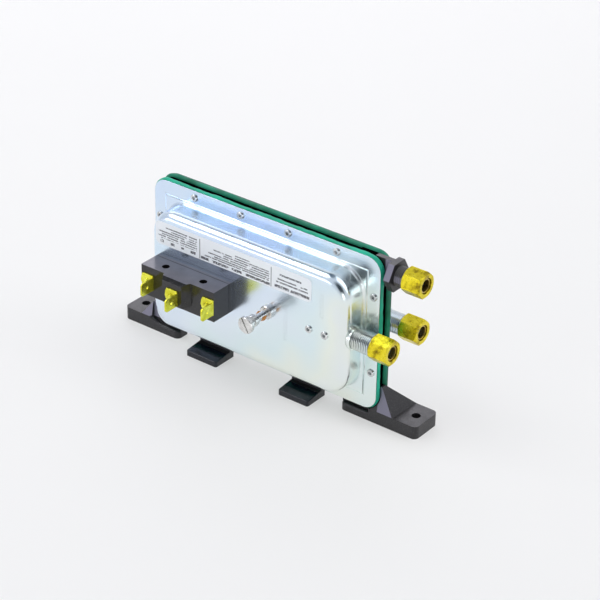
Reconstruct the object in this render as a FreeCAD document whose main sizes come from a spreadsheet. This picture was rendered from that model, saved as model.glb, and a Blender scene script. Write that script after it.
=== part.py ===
import FreeCAD, Part
import math
import os
import re

import Sketcher

# Differential air flow switch. Two drawn steel housings clamp two silicone diaphragms
# and a moulded centre plate with mounting feet. The diaphragms push a lever that works
# a snap switch on the front face, against a spring set by a slotted screw.
# The frame is +X towards the hose fittings, -Y to the front, +Z up. Its origin is midway
# between the two foot holes, on the surface that the feet stand on.

SIZES = {
    # case
    "case_length": 147.6,
    "case_height": 88.0,
    "case_corner": 8.0,
    "sheet": 0.8,
    "gasket": 2.9,
    "gasket_proud": 0.9,
    "gasket_round": 1.2,
    "core": 3.0,
    "core_inset": 0.8,
    "core_corner": 7.0,
    # housings
    "step_inset": 7.7,
    "step_rise": 0.6,
    "ledge": 1.5,
    "dome_depth": 15.2,
    "dome_corner": 14.0,
    "dome_draft": 1.5,
    "dome_round": 5.0,
    "dome_foot_round": 1.2,
    # rivets through the flanges
    "rivet_pitch": 31.0,
    "rivet_rows": 44.3,
    "rivet_edge": 4.0,
    "rivet_side_edge": 3.7,
    "rivet_radius": 1.25,
    "rivet_head": 2.1,
    "rivet_head_height": 0.8,
    "rivet_bore": 0.95,
    "rivet_bore_depth": 1.4,
    "fit": 0.05,
    # diaphragms
    "web": 0.8,
    "roll_inset": 2.4,
    "roll_width": 6.0,
    "roll_rise": 1.6,
    "roll_corner": 11.0,
    "rim_lip": 0.3,
    "backing_gap": 1.5,
    "backing": 1.2,
    "backing_corner": 8.0,
    "spacer_radius": 14.0,
    "stud_radius": 2.05,
    "stud_head": 4.5,
    "stud_head_height": 1.5,
    "stud_gap": 0.3,
    "stud_nut_flats": 7.0,
    "stud_nut_height": 2.4,
    # feet
    "stand_height": 8.3,
    "foot_reach": 24.8,
    "foot_hole_inset": 6.9,
    "foot_hole_back": 6.1,
    "foot_hole_radius": 2.4,
    "foot_front": 3.95,
    "foot_back": 16.15,
    "foot_block": 7.3,
    "foot_corner": 3.0,
    "tongue_height": 4.8,
    "tongue_round": 1.6,
    "right_block_inset": 5.2,
    "right_tongue": 18.1,
    "left_block_gap": 5.2,
    "left_tongue": 19.0,
    "ramp_run": 7.6,
    "tab_height": 3.3,
    "tab_root": 4.5,
    "tab_front": 13.5,
    "tab_corner": 1.2,
    "tab_round": 0.7,
    "left_tab_middle": 35.75,
    "left_tab_width": 20.9,
    "right_tab_middle": 26.7,
    "right_tab_width": 19.7,
    "gusset_top": 13.2,
    "right_gusset_front": 9.6,
    "right_gusset_back": 11.2,
    "left_gusset_front": 12.5,
    "left_gusset_back": 15.2,
    "case_clearance": 0.4,
    # hose fittings
    "thread_radius": 5.556,
    "tube_bore": 2.2,
    "hose_bore": 3.25,
    "hose_seat": 8.0,
    "port_offset": 0.25,
    "port_reach": 10.9,
    "port_inside": 1.5,
    "port_ring": 6.3,
    "port_ring_thickness": 1.2,
    "core_port_drop": 7.7,
    "core_port_reach": 20.3,
    "hex_flats": 15.3,
    "hex_gap": 4.0,
    "hex_length": 3.6,
    "core_duct": 1.0,
    "nut_flats": 12.7,
    "nut_length": 11.2,
    "nut_engaged": 7.4,
    "nut_cone": 2.0,
    "nut_bore": 4.3,
    "nut_chamfer": 0.9,
    "nut_turn": 15.0,
    "ferrule_gap": 0.25,
    "ferrule_length": 1.5,
    "ferrule_radius": 4.6,
    "ferrule_sleeve": 0.6,
    "ferrule_inset": 0.7,
    # snap switch
    "switch_margin": 6.2,
    "switch_z": 0.3,
    "switch_length": 49.2,
    "switch_height": 17.4,
    "switch_depth": 14.2,
    "switch_lid": 2.0,
    "switch_wall": 3.0,
    "switch_side_wall": 2.2,
    "switch_well": 3.6,
    "switch_hole_pitch": 25.4,
    "switch_hole_radius": 2.1,
    "switch_hole_depth": 8.35,
    "switch_screw_inset": 1.5,
    "switch_screw_radius": 0.9,
    "switch_screw_head": 1.8,
    "switch_screw_head_height": 1.2,
    "switch_screw_grip": 4.0,
    "block_rise": 4.6,
    "block_foot": 3.4,
    "block_length": 13.0,
    "block_foot_length": 18.0,
    "block_slope": 2.8,
    "block_drop": 1.2,
    "plunger_radius": 1.5,
    "plunger_reach": 3.2,
    "plunger_flange": 2.5,
    "plunger_flange_height": 0.6,
    "plunger_hole": 3.5,
    "blade": 0.3,
    "blade_width": 5.0,
    "blade_depth": 2.85,
    "blade_pivot_inset": 6.6,
    "blade_tip_inset": 4.0,
    "blade_eye": 0.9,
    "blade_pin_radius": 0.5,
    "blade_pin_bite": 0.8,
    # terminals
    "terminal_inset": 4.2,
    "tab_metal": 0.8,
    "terminal_width": 8.2,
    "terminal_top": 4.3,
    "terminal_drop": 4.6,
    "terminal_blade": 9.3,
    "terminal_blade_top": 3.1,
    "terminal_blade_drop": 4.4,
    "terminal_tip_cut": 1.0,
    "terminal_hole": 0.8,
    "terminal_rivet": 1.2,
    "terminal_rivet_head": 1.9,
    "terminal_rivet_height": 1.0,
    # calibration screw
    "screw_offset": 1.6,
    "screw_z": 0.8,
    "screw_radius": 2.08,
    "screw_head": 4.6,
    "screw_head_height": 2.0,
    "screw_reach": 19.1,
    "screw_shoulder": 3.2,
    "screw_shoulder_end": 11.2,
    "screw_inner": 2.9,
    "slot_width": 0.9,
    "slot_depth": 1.1,
    "slot_turn": 30.0,
    "bushing_radius": 3.75,
    "bushing_neck": 3.35,
    "bushing_flange": 4.5,
    "bushing_front": 2.5,
    "bushing_back": 1.0,
    "lock_start": 3.7,
    "lock_end": 7.6,
    "lock_radius": 2.95,
    "seat_radius": 3.3,
    "seat_thickness": 1.0,
    "spring_wire": 0.55,
    "spring_radius": 2.5,
    "spring_turns": 4.0,
    # lever
    "lever_front": 11.0,
    "lever_metal": 1.0,
    "lever_width": 8.0,
    "lever_overhang": 6.2,
    "lever_rise_lead": 19.8,
    "lever_gap": 0.2,
    "eye_radius": 2.2,
    "pin_radius": 1.0,
    "pin_head": 1.6,
    "pin_head_height": 0.5,
    "bracket_metal": 0.8,
    "bracket_inset": 8.2,
    "bracket_length": 20.0,
    "ear": 1.0,
    "ear_gap": 0.4,
    "ear_length": 7.2,
    "lever_rivet_inset": 5.0,
    # label
    "label_left_margin": 4.4,
    "label_right_margin": 21.9,
    "label_top_margin": 5.8,
    "label_gap": 6.6,
    "label_film": 0.15,
    "label_corner": 2.6,
}

doc = FreeCAD.newDocument("air_flow_switch")
sheet = doc.addObject("Spreadsheet::Sheet", "sizes")
for row, (alias, number) in enumerate(SIZES.items(), start=1):
    sheet.set("A%d" % row, alias)
    sheet.set("B%d" % row, str(number))
    sheet.setAlias("B%d" % row, alias)
doc.recompute()

# Places and sizes that follow from the driving ones, in the frame of the case: its middle is
# the middle of the centre plate, and depths are counted forwards from there.
DERIVED = {
    "seat": "core / 2 + gasket",
    "flange_face": "seat + sheet",
    "dome_face": "flange_face + dome_depth",
    "dome_inside": "dome_face - sheet",
    "dome_length": "case_length - 2 * (step_inset + ledge)",
    "dome_height": "case_height - 2 * (step_inset + ledge)",
    "roll_length": "dome_length - 2 * roll_inset",
    "roll_height": "dome_height - 2 * roll_inset",
    "lever_stop": "lever_front - lever_metal",
    "stud_reach": "lever_stop - stud_gap",
    "ground": "-case_height / 2 - stand_height",
    "case_end": "case_length / 2",
    "foot_end": "case_end + foot_reach",
    "foot_hole_x": "foot_end - foot_hole_inset",
    "block_top": "ground + foot_block",
    "tongue_top": "ground + tongue_height",
    "right_block_start": "case_end - right_block_inset",
    "right_tongue_start": "right_block_start - right_tongue",
    "left_block_start": "case_end + left_block_gap",
    "left_tongue_start": "left_block_start - left_tongue",
    "gusset_edge": "case_end + gasket_proud + case_clearance",
    "port_y": "flange_face + dome_depth / 2 + port_offset",
    "port_end": "case_end + port_reach",
    "core_port_height": "case_height / 2 - core_port_drop",
    "core_port_end": "case_end + core_port_reach",
    "hex_start": "case_end + hex_gap",
    "switch_x": "-dome_length / 2 + switch_margin + switch_length / 2",
    "outer_terminal": "switch_length / 2 - terminal_inset",
    "blade_axis": "-(blade_depth + blade / 2)",
    "blade_pivot": "switch_length / 2 - blade_pivot_inset",
    "blade_reach": "switch_length / 2 - blade_tip_inset",
    "blade_pin_end": "switch_height / 2 - switch_side_wall + blade_pin_bite",
    "bracket_end": "dome_length / 2 - bracket_inset",
    "bracket_start": "bracket_end - bracket_length",
    "lever_pivot_x": "bracket_start + ear_length / 2",
    "lever_rivet_near": "bracket_start + lever_rivet_inset",
    "lever_rivet_far": "bracket_end - lever_rivet_inset",
    "lever_raised": "dome_face - plunger_reach - lever_gap",
    "lever_rise_x": "switch_x + lever_rise_lead",
    "lever_rise_run": "lever_raised - lever_front",
    "lever_tip_x": "switch_x - lever_overhang",
    "screw_x": "(switch_x + switch_length / 2 + bracket_start) / 2 + screw_offset",
    "label_left": "-dome_length / 2 + label_left_margin",
    "label_right": "dome_length / 2 - label_right_margin",
    "label_bottom": "switch_z + switch_height / 2 + label_gap",
    "label_top": "dome_height / 2 - label_top_margin",
}
DERIVED_NAMES = re.compile(r"\b(" + "|".join(DERIVED) + r")\b")
SIZE_NAMES = re.compile(r"\b(" + "|".join(SIZES) + r")\b")
PARTS = []


def expanded(text):
    """The same formula with only driving sizes in it."""
    while DERIVED_NAMES.search(text):
        text = DERIVED_NAMES.sub(lambda found: "(%s)" % DERIVED[found.group(1)], text)
    return text


def formula(text):
    """The same formula with every size looked up in the sheet."""
    return SIZE_NAMES.sub(r"sizes.\1", expanded(text))


def value(text):
    """The number that a formula gives now."""
    return float(sheet.evalExpression(expanded(text)))


def bind(item, prop, text):
    item.setExpression(prop, formula(text))


def place(item, right="0", forward="0", up="0", turn=None):
    """Put a sub-part in the frame of the whole switch, from its place in the case."""
    if turn:
        item.Placement = FreeCAD.Placement(FreeCAD.Vector(), FreeCAD.Rotation(*turn))
    bind(item, "Placement.Base.x", right)
    bind(item, "Placement.Base.y", "-foot_hole_back - (%s)" % forward)
    bind(item, "Placement.Base.z", "case_height / 2 + stand_height + (%s)" % up)


def new_body(label):
    body = doc.addObject("PartDesign::Body", label)
    body.Label = label
    PARTS.append(body)
    return body


def new_sketch(body, name, plane, depth="0"):
    """An empty sketch on one of the body's own planes, moved along the plane's normal."""
    sketch = body.newObject("Sketcher::SketchObject", name)
    support = [item for item in body.Origin.OriginFeatures if item.Role == plane][0]
    sketch.AttachmentSupport = (support, [""])
    sketch.MapMode = "FlatFace"
    bind(sketch, "AttachmentOffset.Base.z", depth)
    return sketch


def pin_point(sketch, line, end, across, up):
    """Tie one point of the sketch to two formulas, counted from the sketch's origin."""
    for kind, axis, text in (("DistanceX", -2, across), ("DistanceY", -1, up)):
        number = value(text)
        if abs(number) < 1e-9:
            sketch.addConstraint(Sketcher.Constraint("PointOnObject", line, end, axis))
        else:
            index = sketch.addConstraint(
                Sketcher.Constraint(kind, -1, 1, line, end, number))
            bind(sketch, "Constraints[%d]" % index, text)


def outline(sketch, points):
    """A closed outline of straight lines through points given as pairs of formulas."""
    first = sketch.GeometryCount
    spots = [FreeCAD.Vector(value(x), value(y), 0) for x, y in points]
    count = len(spots)
    for index in range(count):
        line = Part.LineSegment(spots[index], spots[(index + 1) % count])
        sketch.addGeometry(line, False)
    for index in range(count):
        following = first + (index + 1) % count
        sketch.addConstraint(
            Sketcher.Constraint("Coincident", first + index, 2, following, 1))
    for index, (x, y) in enumerate(points):
        pin_point(sketch, first + index, 1, x, y)


def rectangle(sketch, left, right, bottom, top):
    outline(sketch, [(left, bottom), (right, bottom), (right, top), (left, top)])


def centred(sketch, length, height):
    half_length = "(%s) / 2" % length
    half_height = "(%s) / 2" % height
    rectangle(sketch, "-" + half_length, half_length, "-" + half_height, half_height)


def rounded(sketch, length, height, radius):
    """A centred rectangle with round corners, from four arcs and the lines between them."""
    half_length = value("(%s) / 2" % length)
    half_height = value("(%s) / 2" % height)
    size = value(radius)
    corners = ((1, -1), (1, 1), (-1, 1), (-1, -1))
    arcs = []
    for index, (right, up) in enumerate(corners):
        middle = FreeCAD.Vector(right * (half_length - size), up * (half_height - size), 0)
        start = math.radians(-90 + 90 * index)
        turn = Part.Circle(middle, FreeCAD.Vector(0, 0, 1), size)
        arcs.append(sketch.addGeometry(Part.ArcOfCircle(turn, start, start + math.pi / 2), False))
    for index, arc in enumerate(arcs):
        following = arcs[(index + 1) % 4]
        line = sketch.addGeometry(Part.LineSegment(
            sketch.getPoint(arc, 2), sketch.getPoint(following, 1)), False)
        sketch.addConstraint(Sketcher.Constraint("Tangent", arc, 2, line, 1))
        sketch.addConstraint(Sketcher.Constraint("Tangent", line, 2, following, 1))
    for arc, (right, up) in zip(arcs, corners):
        pin_point(sketch, arc, 3, "%d * ((%s) / 2 - (%s))" % (right, length, radius),
                  "%d * ((%s) / 2 - (%s))" % (up, height, radius))
        bound = sketch.addConstraint(Sketcher.Constraint("Radius", arc, size))
        bind(sketch, "Constraints[%d]" % bound, radius)


def circle(sketch, across, up, radius):
    middle = FreeCAD.Vector(value(across), value(up), 0)
    index = sketch.addGeometry(
        Part.Circle(middle, FreeCAD.Vector(0, 0, 1), value(radius)), False)
    pin_point(sketch, index, 3, across, up)
    size = sketch.addConstraint(Sketcher.Constraint("Radius", index, value(radius)))
    bind(sketch, "Constraints[%d]" % size, radius)


def hexagon(sketch, flats, up="0", first_corner=0):
    """A hexagon round a point on the sketch's vertical axis, by its width over flats."""
    points = []
    for corner in range(6):
        angle = first_corner + 60 * corner
        points.append(("(%s) / sqrt(3) * cos(%d)" % (flats, angle),
                       "(%s) + (%s) / sqrt(3) * sin(%d)" % (up, flats, angle)))
    outline(sketch, points)


def add_feature(body, kind, name, sketch, **settings):
    feature = body.newObject("PartDesign::" + kind, name)
    feature.Profile = sketch
    for prop, setting in settings.items():
        if isinstance(setting, str):
            bind(feature, prop, setting)
        else:
            setattr(feature, prop, setting)
    doc.recompute()
    return feature


def pad(body, name, sketch, length, backward=False, taper=None):
    extra = {"TaperAngle": taper} if taper else {}
    return add_feature(body, "Pad", name, sketch, Length=length, Reversed=backward, **extra)


def pocket(body, name, sketch, depth, backward=False, taper=None):
    """Cut against the sketch's normal, or along it if backward, and check that it cuts."""
    before = body.Shape.Volume
    extra = {"TaperAngle": taper} if taper else {}
    feature = add_feature(
        body, "Pocket", name, sketch, Length=depth, Reversed=backward, **extra)
    if not body.Shape.Volume < before - 1e-6:
        raise RuntimeError("%s of %s cuts nothing" % (name, body.Label))
    return feature


def turn_solid(body, name, sketch, axis, angle=360.0):
    return add_feature(
        body, "Revolution", name, sketch, ReferenceAxis=(sketch, [axis]), Angle=angle)


def turn_cut(body, name, sketch, axis):
    before = body.Shape.Volume
    feature = add_feature(
        body, "Groove", name, sketch, ReferenceAxis=(sketch, [axis]), Angle=360.0)
    if not body.Shape.Volume < before - 1e-6:
        raise RuntimeError("%s of %s cuts nothing" % (name, body.Label))
    return feature


def near(first, second):
    return abs(first - second) < 1e-3


def round_edges(body, name, radius, chosen, kind="Fillet"):
    """Round, or chamfer, the edges of the body so far that the test chooses."""
    tip = body.Tip
    names = ["Edge%d" % (index + 1)
             for index, edge in enumerate(tip.Shape.Edges) if chosen(edge.BoundBox)]
    if not names:
        raise RuntimeError("%s of %s finds no edge" % (name, body.Label))
    feature = body.newObject("PartDesign::" + kind, name)
    feature.Base = (tip, names)
    bind(feature, "Radius" if kind == "Fillet" else "Size", radius)
    doc.recompute()
    return feature


def runs_along(axis, low=None, high=None):
    """A test for straight edges along an axis, between two places if they are given."""
    def test(box):
        spans = {"x": box.XLength, "y": box.YLength, "z": box.ZLength}
        start = {"x": box.XMin, "y": box.YMin, "z": box.ZMin}[axis]
        end = {"x": box.XMax, "y": box.YMax, "z": box.ZMax}[axis]
        if spans[axis] < 0.05 or any(spans[other] > 1e-3 for other in spans if other != axis):
            return False
        return (low is None or near(start, low)) and (high is None or near(end, high))
    return test


def in_plane(axis, place_there):
    """A test for edges that lie in one plane square to an axis."""
    def test(box):
        low = {"x": box.XMin, "y": box.YMin, "z": box.ZMin}[axis]
        high = {"x": box.XMax, "y": box.YMax, "z": box.ZMax}[axis]
        return near(low, place_there) and near(high, place_there)
    return test


def rivet_spots():
    """The twelve rivets of the flanges, as pairs of formulas in the case's frame."""
    row = "(case_height / 2 - rivet_edge)"
    side = "(case_length / 2 - rivet_side_edge)"
    spots = []
    for sign in ("", "-"):
        spots += [("%s * rivet_pitch" % step, sign + row) for step in ("-1.5", "-0.5", "0.5", "1.5")]
        spots += [(sign + side, "rivet_rows / 2"), (sign + side, "-rivet_rows / 2")]
    return spots


def rivet_holes(body, depth, length):
    holes = new_sketch(body, "rivet_hole_circles", "XZ_Plane", depth)
    for across, up in rivet_spots():
        circle(holes, across, up, "rivet_radius + fit")
    pocket(body, "rivet_holes", holes, length)


def housing(label, front):
    """A drawn steel half: flange, raised panel and dome, open to the back."""
    body = new_body(label)
    flange = new_sketch(body, "flange_outline", "XZ_Plane", "seat")
    centred(flange, "case_length", "case_height")
    pad(body, "flange", flange, "sheet")
    round_edges(body, "flange_corners", "case_corner", runs_along("y"))
    panel = new_sketch(body, "panel_outline", "XZ_Plane", "seat")
    centred(panel, "case_length - 2 * step_inset", "case_height - 2 * step_inset")
    pad(body, "panel", panel, "sheet + step_rise")
    dome = new_sketch(body, "dome_outline", "XZ_Plane", "seat")
    centred(dome, "dome_length", "dome_height")
    pad(body, "dome", dome, "sheet + dome_depth", taper="-dome_draft")
    recess = new_sketch(body, "recess_outline", "XZ_Plane", "seat")
    centred(recess, "case_length - 2 * step_inset - 2 * sheet",
            "case_height - 2 * step_inset - 2 * sheet")
    pocket(body, "recess", recess, "step_rise", backward=True)
    cavity = new_sketch(body, "cavity_outline", "XZ_Plane", "seat")
    centred(cavity, "dome_length - 2 * sheet", "dome_height - 2 * sheet")
    pocket(body, "cavity", cavity, "dome_depth", backward=True, taper="-dome_draft")
    floor = -value("dome_inside")
    mouth = -value("seat + step_rise")

    def cavity_corner(box):
        return near(box.YMin, floor) and near(box.YMax, mouth)

    round_edges(body, "cavity_corners", "dome_corner - sheet", cavity_corner)

    def cavity_floor(box):
        return in_plane("y", floor)(box)

    round_edges(body, "cavity_edge", "dome_round - sheet", cavity_floor)
    face = -value("dome_face")
    foot = -value("flange_face + step_rise")
    beyond_panel = value("case_length / 2 - step_inset") - 0.01

    def dome_corner(box):
        return near(box.YMin, face) and near(box.YMax, foot)

    round_edges(body, "dome_corners", "dome_corner", dome_corner)
    round_edges(body, "dome_edge", "dome_round", in_plane("y", face))

    def dome_foot(box):
        return in_plane("y", foot)(box) and box.XMax < beyond_panel and box.XMin > -beyond_panel

    round_edges(body, "dome_foot", "dome_foot_round", dome_foot)
    rivet_holes(body, "flange_face", "2 * sheet")
    port = new_sketch(body, "port_circle", "YZ_Plane", "case_length / 2")
    circle(port, "-port_y", "0", "thread_radius + fit")
    pocket(body, "port_hole", port, "(case_length - dome_length) / 2 + dome_corner / 2")
    if front:
        holes = new_sketch(body, "face_circles", "XZ_Plane", "dome_face")
        circle(holes, "switch_x", "switch_z", "plunger_hole")
        for sign in ("+", "-"):
            circle(holes, "switch_x %s (switch_length / 2 - switch_screw_inset)" % sign,
                   "switch_z", "switch_screw_radius + fit")
        circle(holes, "screw_x", "screw_z", "bushing_neck + fit")
        for spot in ("lever_rivet_near", "lever_rivet_far"):
            circle(holes, spot, "0", "rivet_radius + fit")
        pocket(body, "face_holes", holes, "2 * sheet")
        place(body)
    else:
        place(body, turn=(FreeCAD.Vector(1, 0, 0), 180))
    return body


def diaphragm(label, front):
    """A silicone diaphragm: thick clamped rim, thin web and one square roll."""
    body = new_body(label)
    rim = new_sketch(body, "rim_outline", "XZ_Plane", "core / 2")
    centred(rim, "case_length + 2 * gasket_proud", "case_height + 2 * gasket_proud")
    pad(body, "rim", rim, "gasket")
    round_edges(body, "rim_corners", "case_corner + gasket_proud", runs_along("y"))
    back = -value("core / 2")
    front_face = -value("seat")
    round_edges(body, "rim_bead", "gasket_round",
                lambda box: in_plane("y", back)(box) or in_plane("y", front_face)(box))
    hollow = new_sketch(body, "hollow_outline", "XZ_Plane", "core / 2 + web")
    centred(hollow, "dome_length - 2 * rim_lip", "dome_height - 2 * rim_lip")
    pocket(body, "hollow", hollow, "gasket", backward=True)
    roll = new_sketch(body, "roll_outline", "XZ_Plane", "core / 2 + web / 2")
    centred(roll, "roll_length", "roll_height")
    centred(roll, "roll_length - 2 * roll_width", "roll_height - 2 * roll_width")
    pad(body, "roll", roll, "roll_rise + web / 2")
    groove = new_sketch(body, "groove_outline", "XZ_Plane", "core / 2")
    centred(groove, "roll_length - 2 * web", "roll_height - 2 * web")
    centred(groove, "roll_length - 2 * roll_width + 2 * web",
            "roll_height - 2 * roll_width + 2 * web")
    pocket(body, "roll_groove", groove, "roll_rise", backward=True)
    rivet_holes(body, "seat", "gasket")
    middle = new_sketch(body, "stud_circle", "XZ_Plane", "seat")
    circle(middle, "0", "0", "stud_radius + fit")
    pocket(body, "stud_hole", middle, "gasket")
    if front:
        place(body)
    else:
        place(body, turn=(FreeCAD.Vector(1, 0, 0), 180))
    return body


def standing(body, name, left, right, front, back, height):
    """A block that stands on the ground plane, between depths in front and behind."""
    foot = new_sketch(body, name + "_outline", "XY_Plane", "ground")
    rectangle(foot, left, right, "-(%s)" % front, back)
    return pad(body, name, foot, height)


def foot_gusset(body, name, side):
    """The slope that spreads from the plate's edge down to a foot's whole width."""
    sign = "-" if side == "left" else ""
    inner = sign + "(case_end - case_corner / 2)"
    edge = sign + "gusset_edge"
    base = new_sketch(body, name + "_base", "XY_Plane", "block_top")
    outline(base, [(inner, "-foot_front"), ("%s(case_end + %s_gusset_front)" % (sign, side), "-foot_front"),
                   ("%s(case_end + %s_gusset_back)" % (sign, side), "foot_back"), (inner, "foot_back")])
    top = new_sketch(body, name + "_top", "XY_Plane", "gusset_top - case_height / 2")
    outline(top, [(inner, "-core / 2"), (edge, "-core / 2"),
                  (edge, "core / 2"), (inner, "core / 2")])
    loft = body.newObject("PartDesign::AdditiveLoft", name)
    loft.Profile = base
    loft.Sections = [top]
    loft.Ruled = True
    doc.recompute()
    return loft


def clear_case(body, name, backward):
    """Cut the space of a flange and its gasket out of the feet, on one side."""
    depth = "core / 2" if backward else "-core / 2"
    space = new_sketch(body, name + "_outline", "XZ_Plane", depth)
    rounded(space, "case_length + 2 * gasket_proud + 2 * case_clearance",
            "case_height + 2 * gasket_proud + 2 * case_clearance",
            "case_corner + gasket_proud + case_clearance")
    return pocket(body, name, space, "foot_back", backward=backward)


def foot_ramp(body):
    """The hollow curve from the top of the left foot down to its tongue."""
    ramp = new_sketch(body, "ramp_outline", "XZ_Plane", "foot_front")
    high = ("-left_block_start", "block_top")
    low = ("-left_block_start + ramp_run", "tongue_top")
    foot = ("-left_block_start + ramp_run", "ground")
    corner = ("-left_block_start", "ground")
    route = [low, foot, corner, high]
    spots = [FreeCAD.Vector(value(x), value(z), 0) for x, z in route]
    for index in range(3):
        sketch_line = Part.LineSegment(spots[index], spots[index + 1])
        ramp.addGeometry(sketch_line, False)
        pin_point(ramp, index, 1, *route[index])
    pin_point(ramp, 2, 2, *high)
    for index in range(2):
        ramp.addConstraint(Sketcher.Constraint("Coincident", index, 2, index + 1, 1))
    drop = value("foot_block - tongue_height")
    run = value("ramp_run")
    radius = (run * run + drop * drop) / (2 * drop)
    middle = spots[0] + FreeCAD.Vector(0, radius, 0)
    start = math.atan2(spots[3].y - middle.y, spots[3].x - middle.x) + 2 * math.pi
    turn = Part.Circle(middle, FreeCAD.Vector(0, 0, 1), radius)
    arc = ramp.addGeometry(Part.ArcOfCircle(turn, start, 1.5 * math.pi), False)
    ramp.addConstraint(Sketcher.Constraint("Coincident", arc, 1, 2, 2))
    ramp.addConstraint(Sketcher.Constraint("Coincident", arc, 2, 0, 1))
    ramp.addConstraint(Sketcher.Constraint("Vertical", arc, 3, 0, 1))
    pad(body, "ramp", ramp, "2 * foot_front", backward=True)


def mounting_tab(body, side, sign):
    """A flat tab in front of the plate whose top rises towards the case."""
    left = "%s%s_tab_middle - %s_tab_width / 2" % (sign, side, side)
    tab = new_sketch(body, side + "_tab_section", "YZ_Plane", left)
    outline(tab, [("-tab_front", "ground"), ("0", "ground"), ("0", "ground + tab_root"),
                  ("-core / 2", "ground + tab_root"), ("-tab_front", "ground + tab_height")])
    pad(body, side + "_tab", tab, side + "_tab_width")
    outer = value(left)
    other = value("%s + %s_tab_width" % (left, side))
    face = -value("tab_front")
    ground = value("ground")

    def at_end(box):
        return near(box.XMin, outer) or near(box.XMin, other)

    round_edges(body, side + "_tab_corners", "tab_corner",
                lambda box: runs_along("z", low=ground)(box) and near(box.YMin, face) and at_end(box))
    tall = value("ground + tab_height")
    round_edges(body, side + "_tab_top", "tab_round",
                lambda box: near(box.ZMin, tall) and box.ZMax < tall + 2 and box.XMin > outer - 1
                and box.XMax < other + 1 and box.YMin < face + 3)


def centre_plate():
    """The moulded plate between the diaphragms, with its feet, tabs and side fitting."""
    body = new_body("centre_plate")
    plate = new_sketch(body, "plate_outline", "XZ_Plane", "-core / 2")
    centred(plate, "case_length - 2 * core_inset", "case_height - 2 * core_inset")
    pad(body, "plate", plate, "core")
    round_edges(body, "plate_corners", "core_corner", runs_along("y"))
    lug = new_sketch(body, "lug_outline", "XZ_Plane", "-core / 2")
    rectangle(lug, "case_end - 2 * case_corner", "hex_start",
              "core_port_height - hex_flats / 2", "core_port_height + hex_flats / 2")
    pad(body, "lug", lug, "core")
    standing(body, "right_foot", "right_block_start", "foot_end",
             "foot_front", "foot_back", "foot_block")
    standing(body, "left_foot", "-foot_end", "-left_block_start",
             "foot_front", "foot_back", "foot_block")
    outer = value("foot_end")
    round_edges(body, "foot_corners", "foot_corner",
                lambda box: runs_along("z")(box) and near(abs(box.XMin), outer))
    foot_gusset(body, "right_gusset", "right")
    foot_gusset(body, "left_gusset", "left")
    clear_case(body, "front_clearance", True)
    clear_case(body, "rear_clearance", False)
    for name, depth, ahead in (("left_front_pocket", "core / 2", True),
                               ("left_rear_pocket", "-core / 2", False)):
        hollow = new_sketch(body, name + "_outline", "XZ_Plane", depth)
        rectangle(hollow, "-left_block_start", "-left_tongue_start",
                  "block_top - 2 * case_clearance", "gusset_top")
        pocket(body, name, hollow, "foot_back", backward=ahead)
    for name, left, right in (("right_tongue", "right_tongue_start", "right_block_start"),
                              ("left_tongue", "-left_block_start", "-left_tongue_start")):
        standing(body, name, left, right, "foot_front", "foot_front", "tongue_height")
    foot_ramp(body)
    webs = (("right_web", "right_tongue_start", "right_block_start"),
            ("right_end_web", "right_block_start", "case_end - core_inset"),
            ("left_web", "-left_block_start", "-left_tongue_start"),
            ("left_tab_web", "-left_tab_middle - left_tab_width / 2",
             "-left_tab_middle + left_tab_width / 2"),
            ("right_tab_web", "right_tab_middle - right_tab_width / 2",
             "right_tab_middle + right_tab_width / 2"))
    for name, left, right in webs:
        standing(body, name, left, right, "core / 2", "core / 2",
                 "stand_height + core_corner")
    inner_right = value("right_tongue_start")
    inner_left = -value("left_tongue_start")
    foot_face = -value("foot_front")
    tongue_tall = value("tongue_top")
    back_limit = -value("core / 2") - 0.01
    round_edges(body, "tongue_corners", "foot_corner",
                lambda box: runs_along("z")(box) and near(box.YMin, foot_face)
                and (near(box.XMin, inner_right) or near(box.XMin, inner_left)))
    round_edges(body, "tongue_tops", "tongue_round",
                lambda box: in_plane("z", tongue_tall)(box) and near(box.YMin, foot_face)
                and (box.XLength > 1.0 or box.YLength > 1.0)
                and box.YMax < back_limit)
    mounting_tab(body, "left", "-")
    mounting_tab(body, "right", "")
    window = new_sketch(body, "window_outline", "XZ_Plane", "core / 2")
    centred(window, "roll_length", "roll_height")
    pocket(body, "window", window, "core")
    half_window = value("roll_height / 2")
    half_window_length = value("roll_length / 2")
    round_edges(body, "window_corners", "roll_corner",
                lambda box: runs_along("y")(box) and near(abs(box.ZMin), half_window)
                and near(abs(box.XMin), half_window_length))
    hexagon_outline = new_sketch(body, "hexagon_outline", "YZ_Plane", "hex_start")
    hexagon(hexagon_outline, "hex_flats", up="core_port_height")
    pad(body, "hexagon", hexagon_outline, "hex_length")
    stub = new_sketch(body, "stub_circle", "YZ_Plane", "hex_start")
    circle(stub, "0", "core_port_height", "thread_radius")
    pad(body, "stub", stub, "core_port_end - hex_start")
    hose_seat = new_sketch(body, "hose_seat_circle", "YZ_Plane", "core_port_end")
    circle(hose_seat, "0", "core_port_height", "hose_bore")
    pocket(body, "hose_seat_bore", hose_seat, "hose_seat")
    duct = new_sketch(body, "duct_circle", "YZ_Plane", "core_port_end")
    circle(duct, "0", "core_port_height", "core_duct")
    pocket(body, "duct", duct, "core_port_end - roll_length / 2 + roll_corner")
    drop = new_sketch(body, "drop_outline", "XY_Plane", "core_port_height")
    circle(drop, "roll_length / 2 - roll_corner", "0", "core_duct")
    pocket(body, "drop", drop, "core_port_height - roll_height / 2 + core_duct")
    holes = new_sketch(body, "foot_hole_circles", "XY_Plane", "gusset_top - case_height / 2")
    for sign in ("", "-"):
        circle(holes, sign + "foot_hole_x", "foot_hole_back", "foot_hole_radius")
    pocket(body, "foot_holes", holes, "stand_height + gusset_top")
    rivet_holes(body, "core / 2", "core")
    place(body)
    return body


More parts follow.
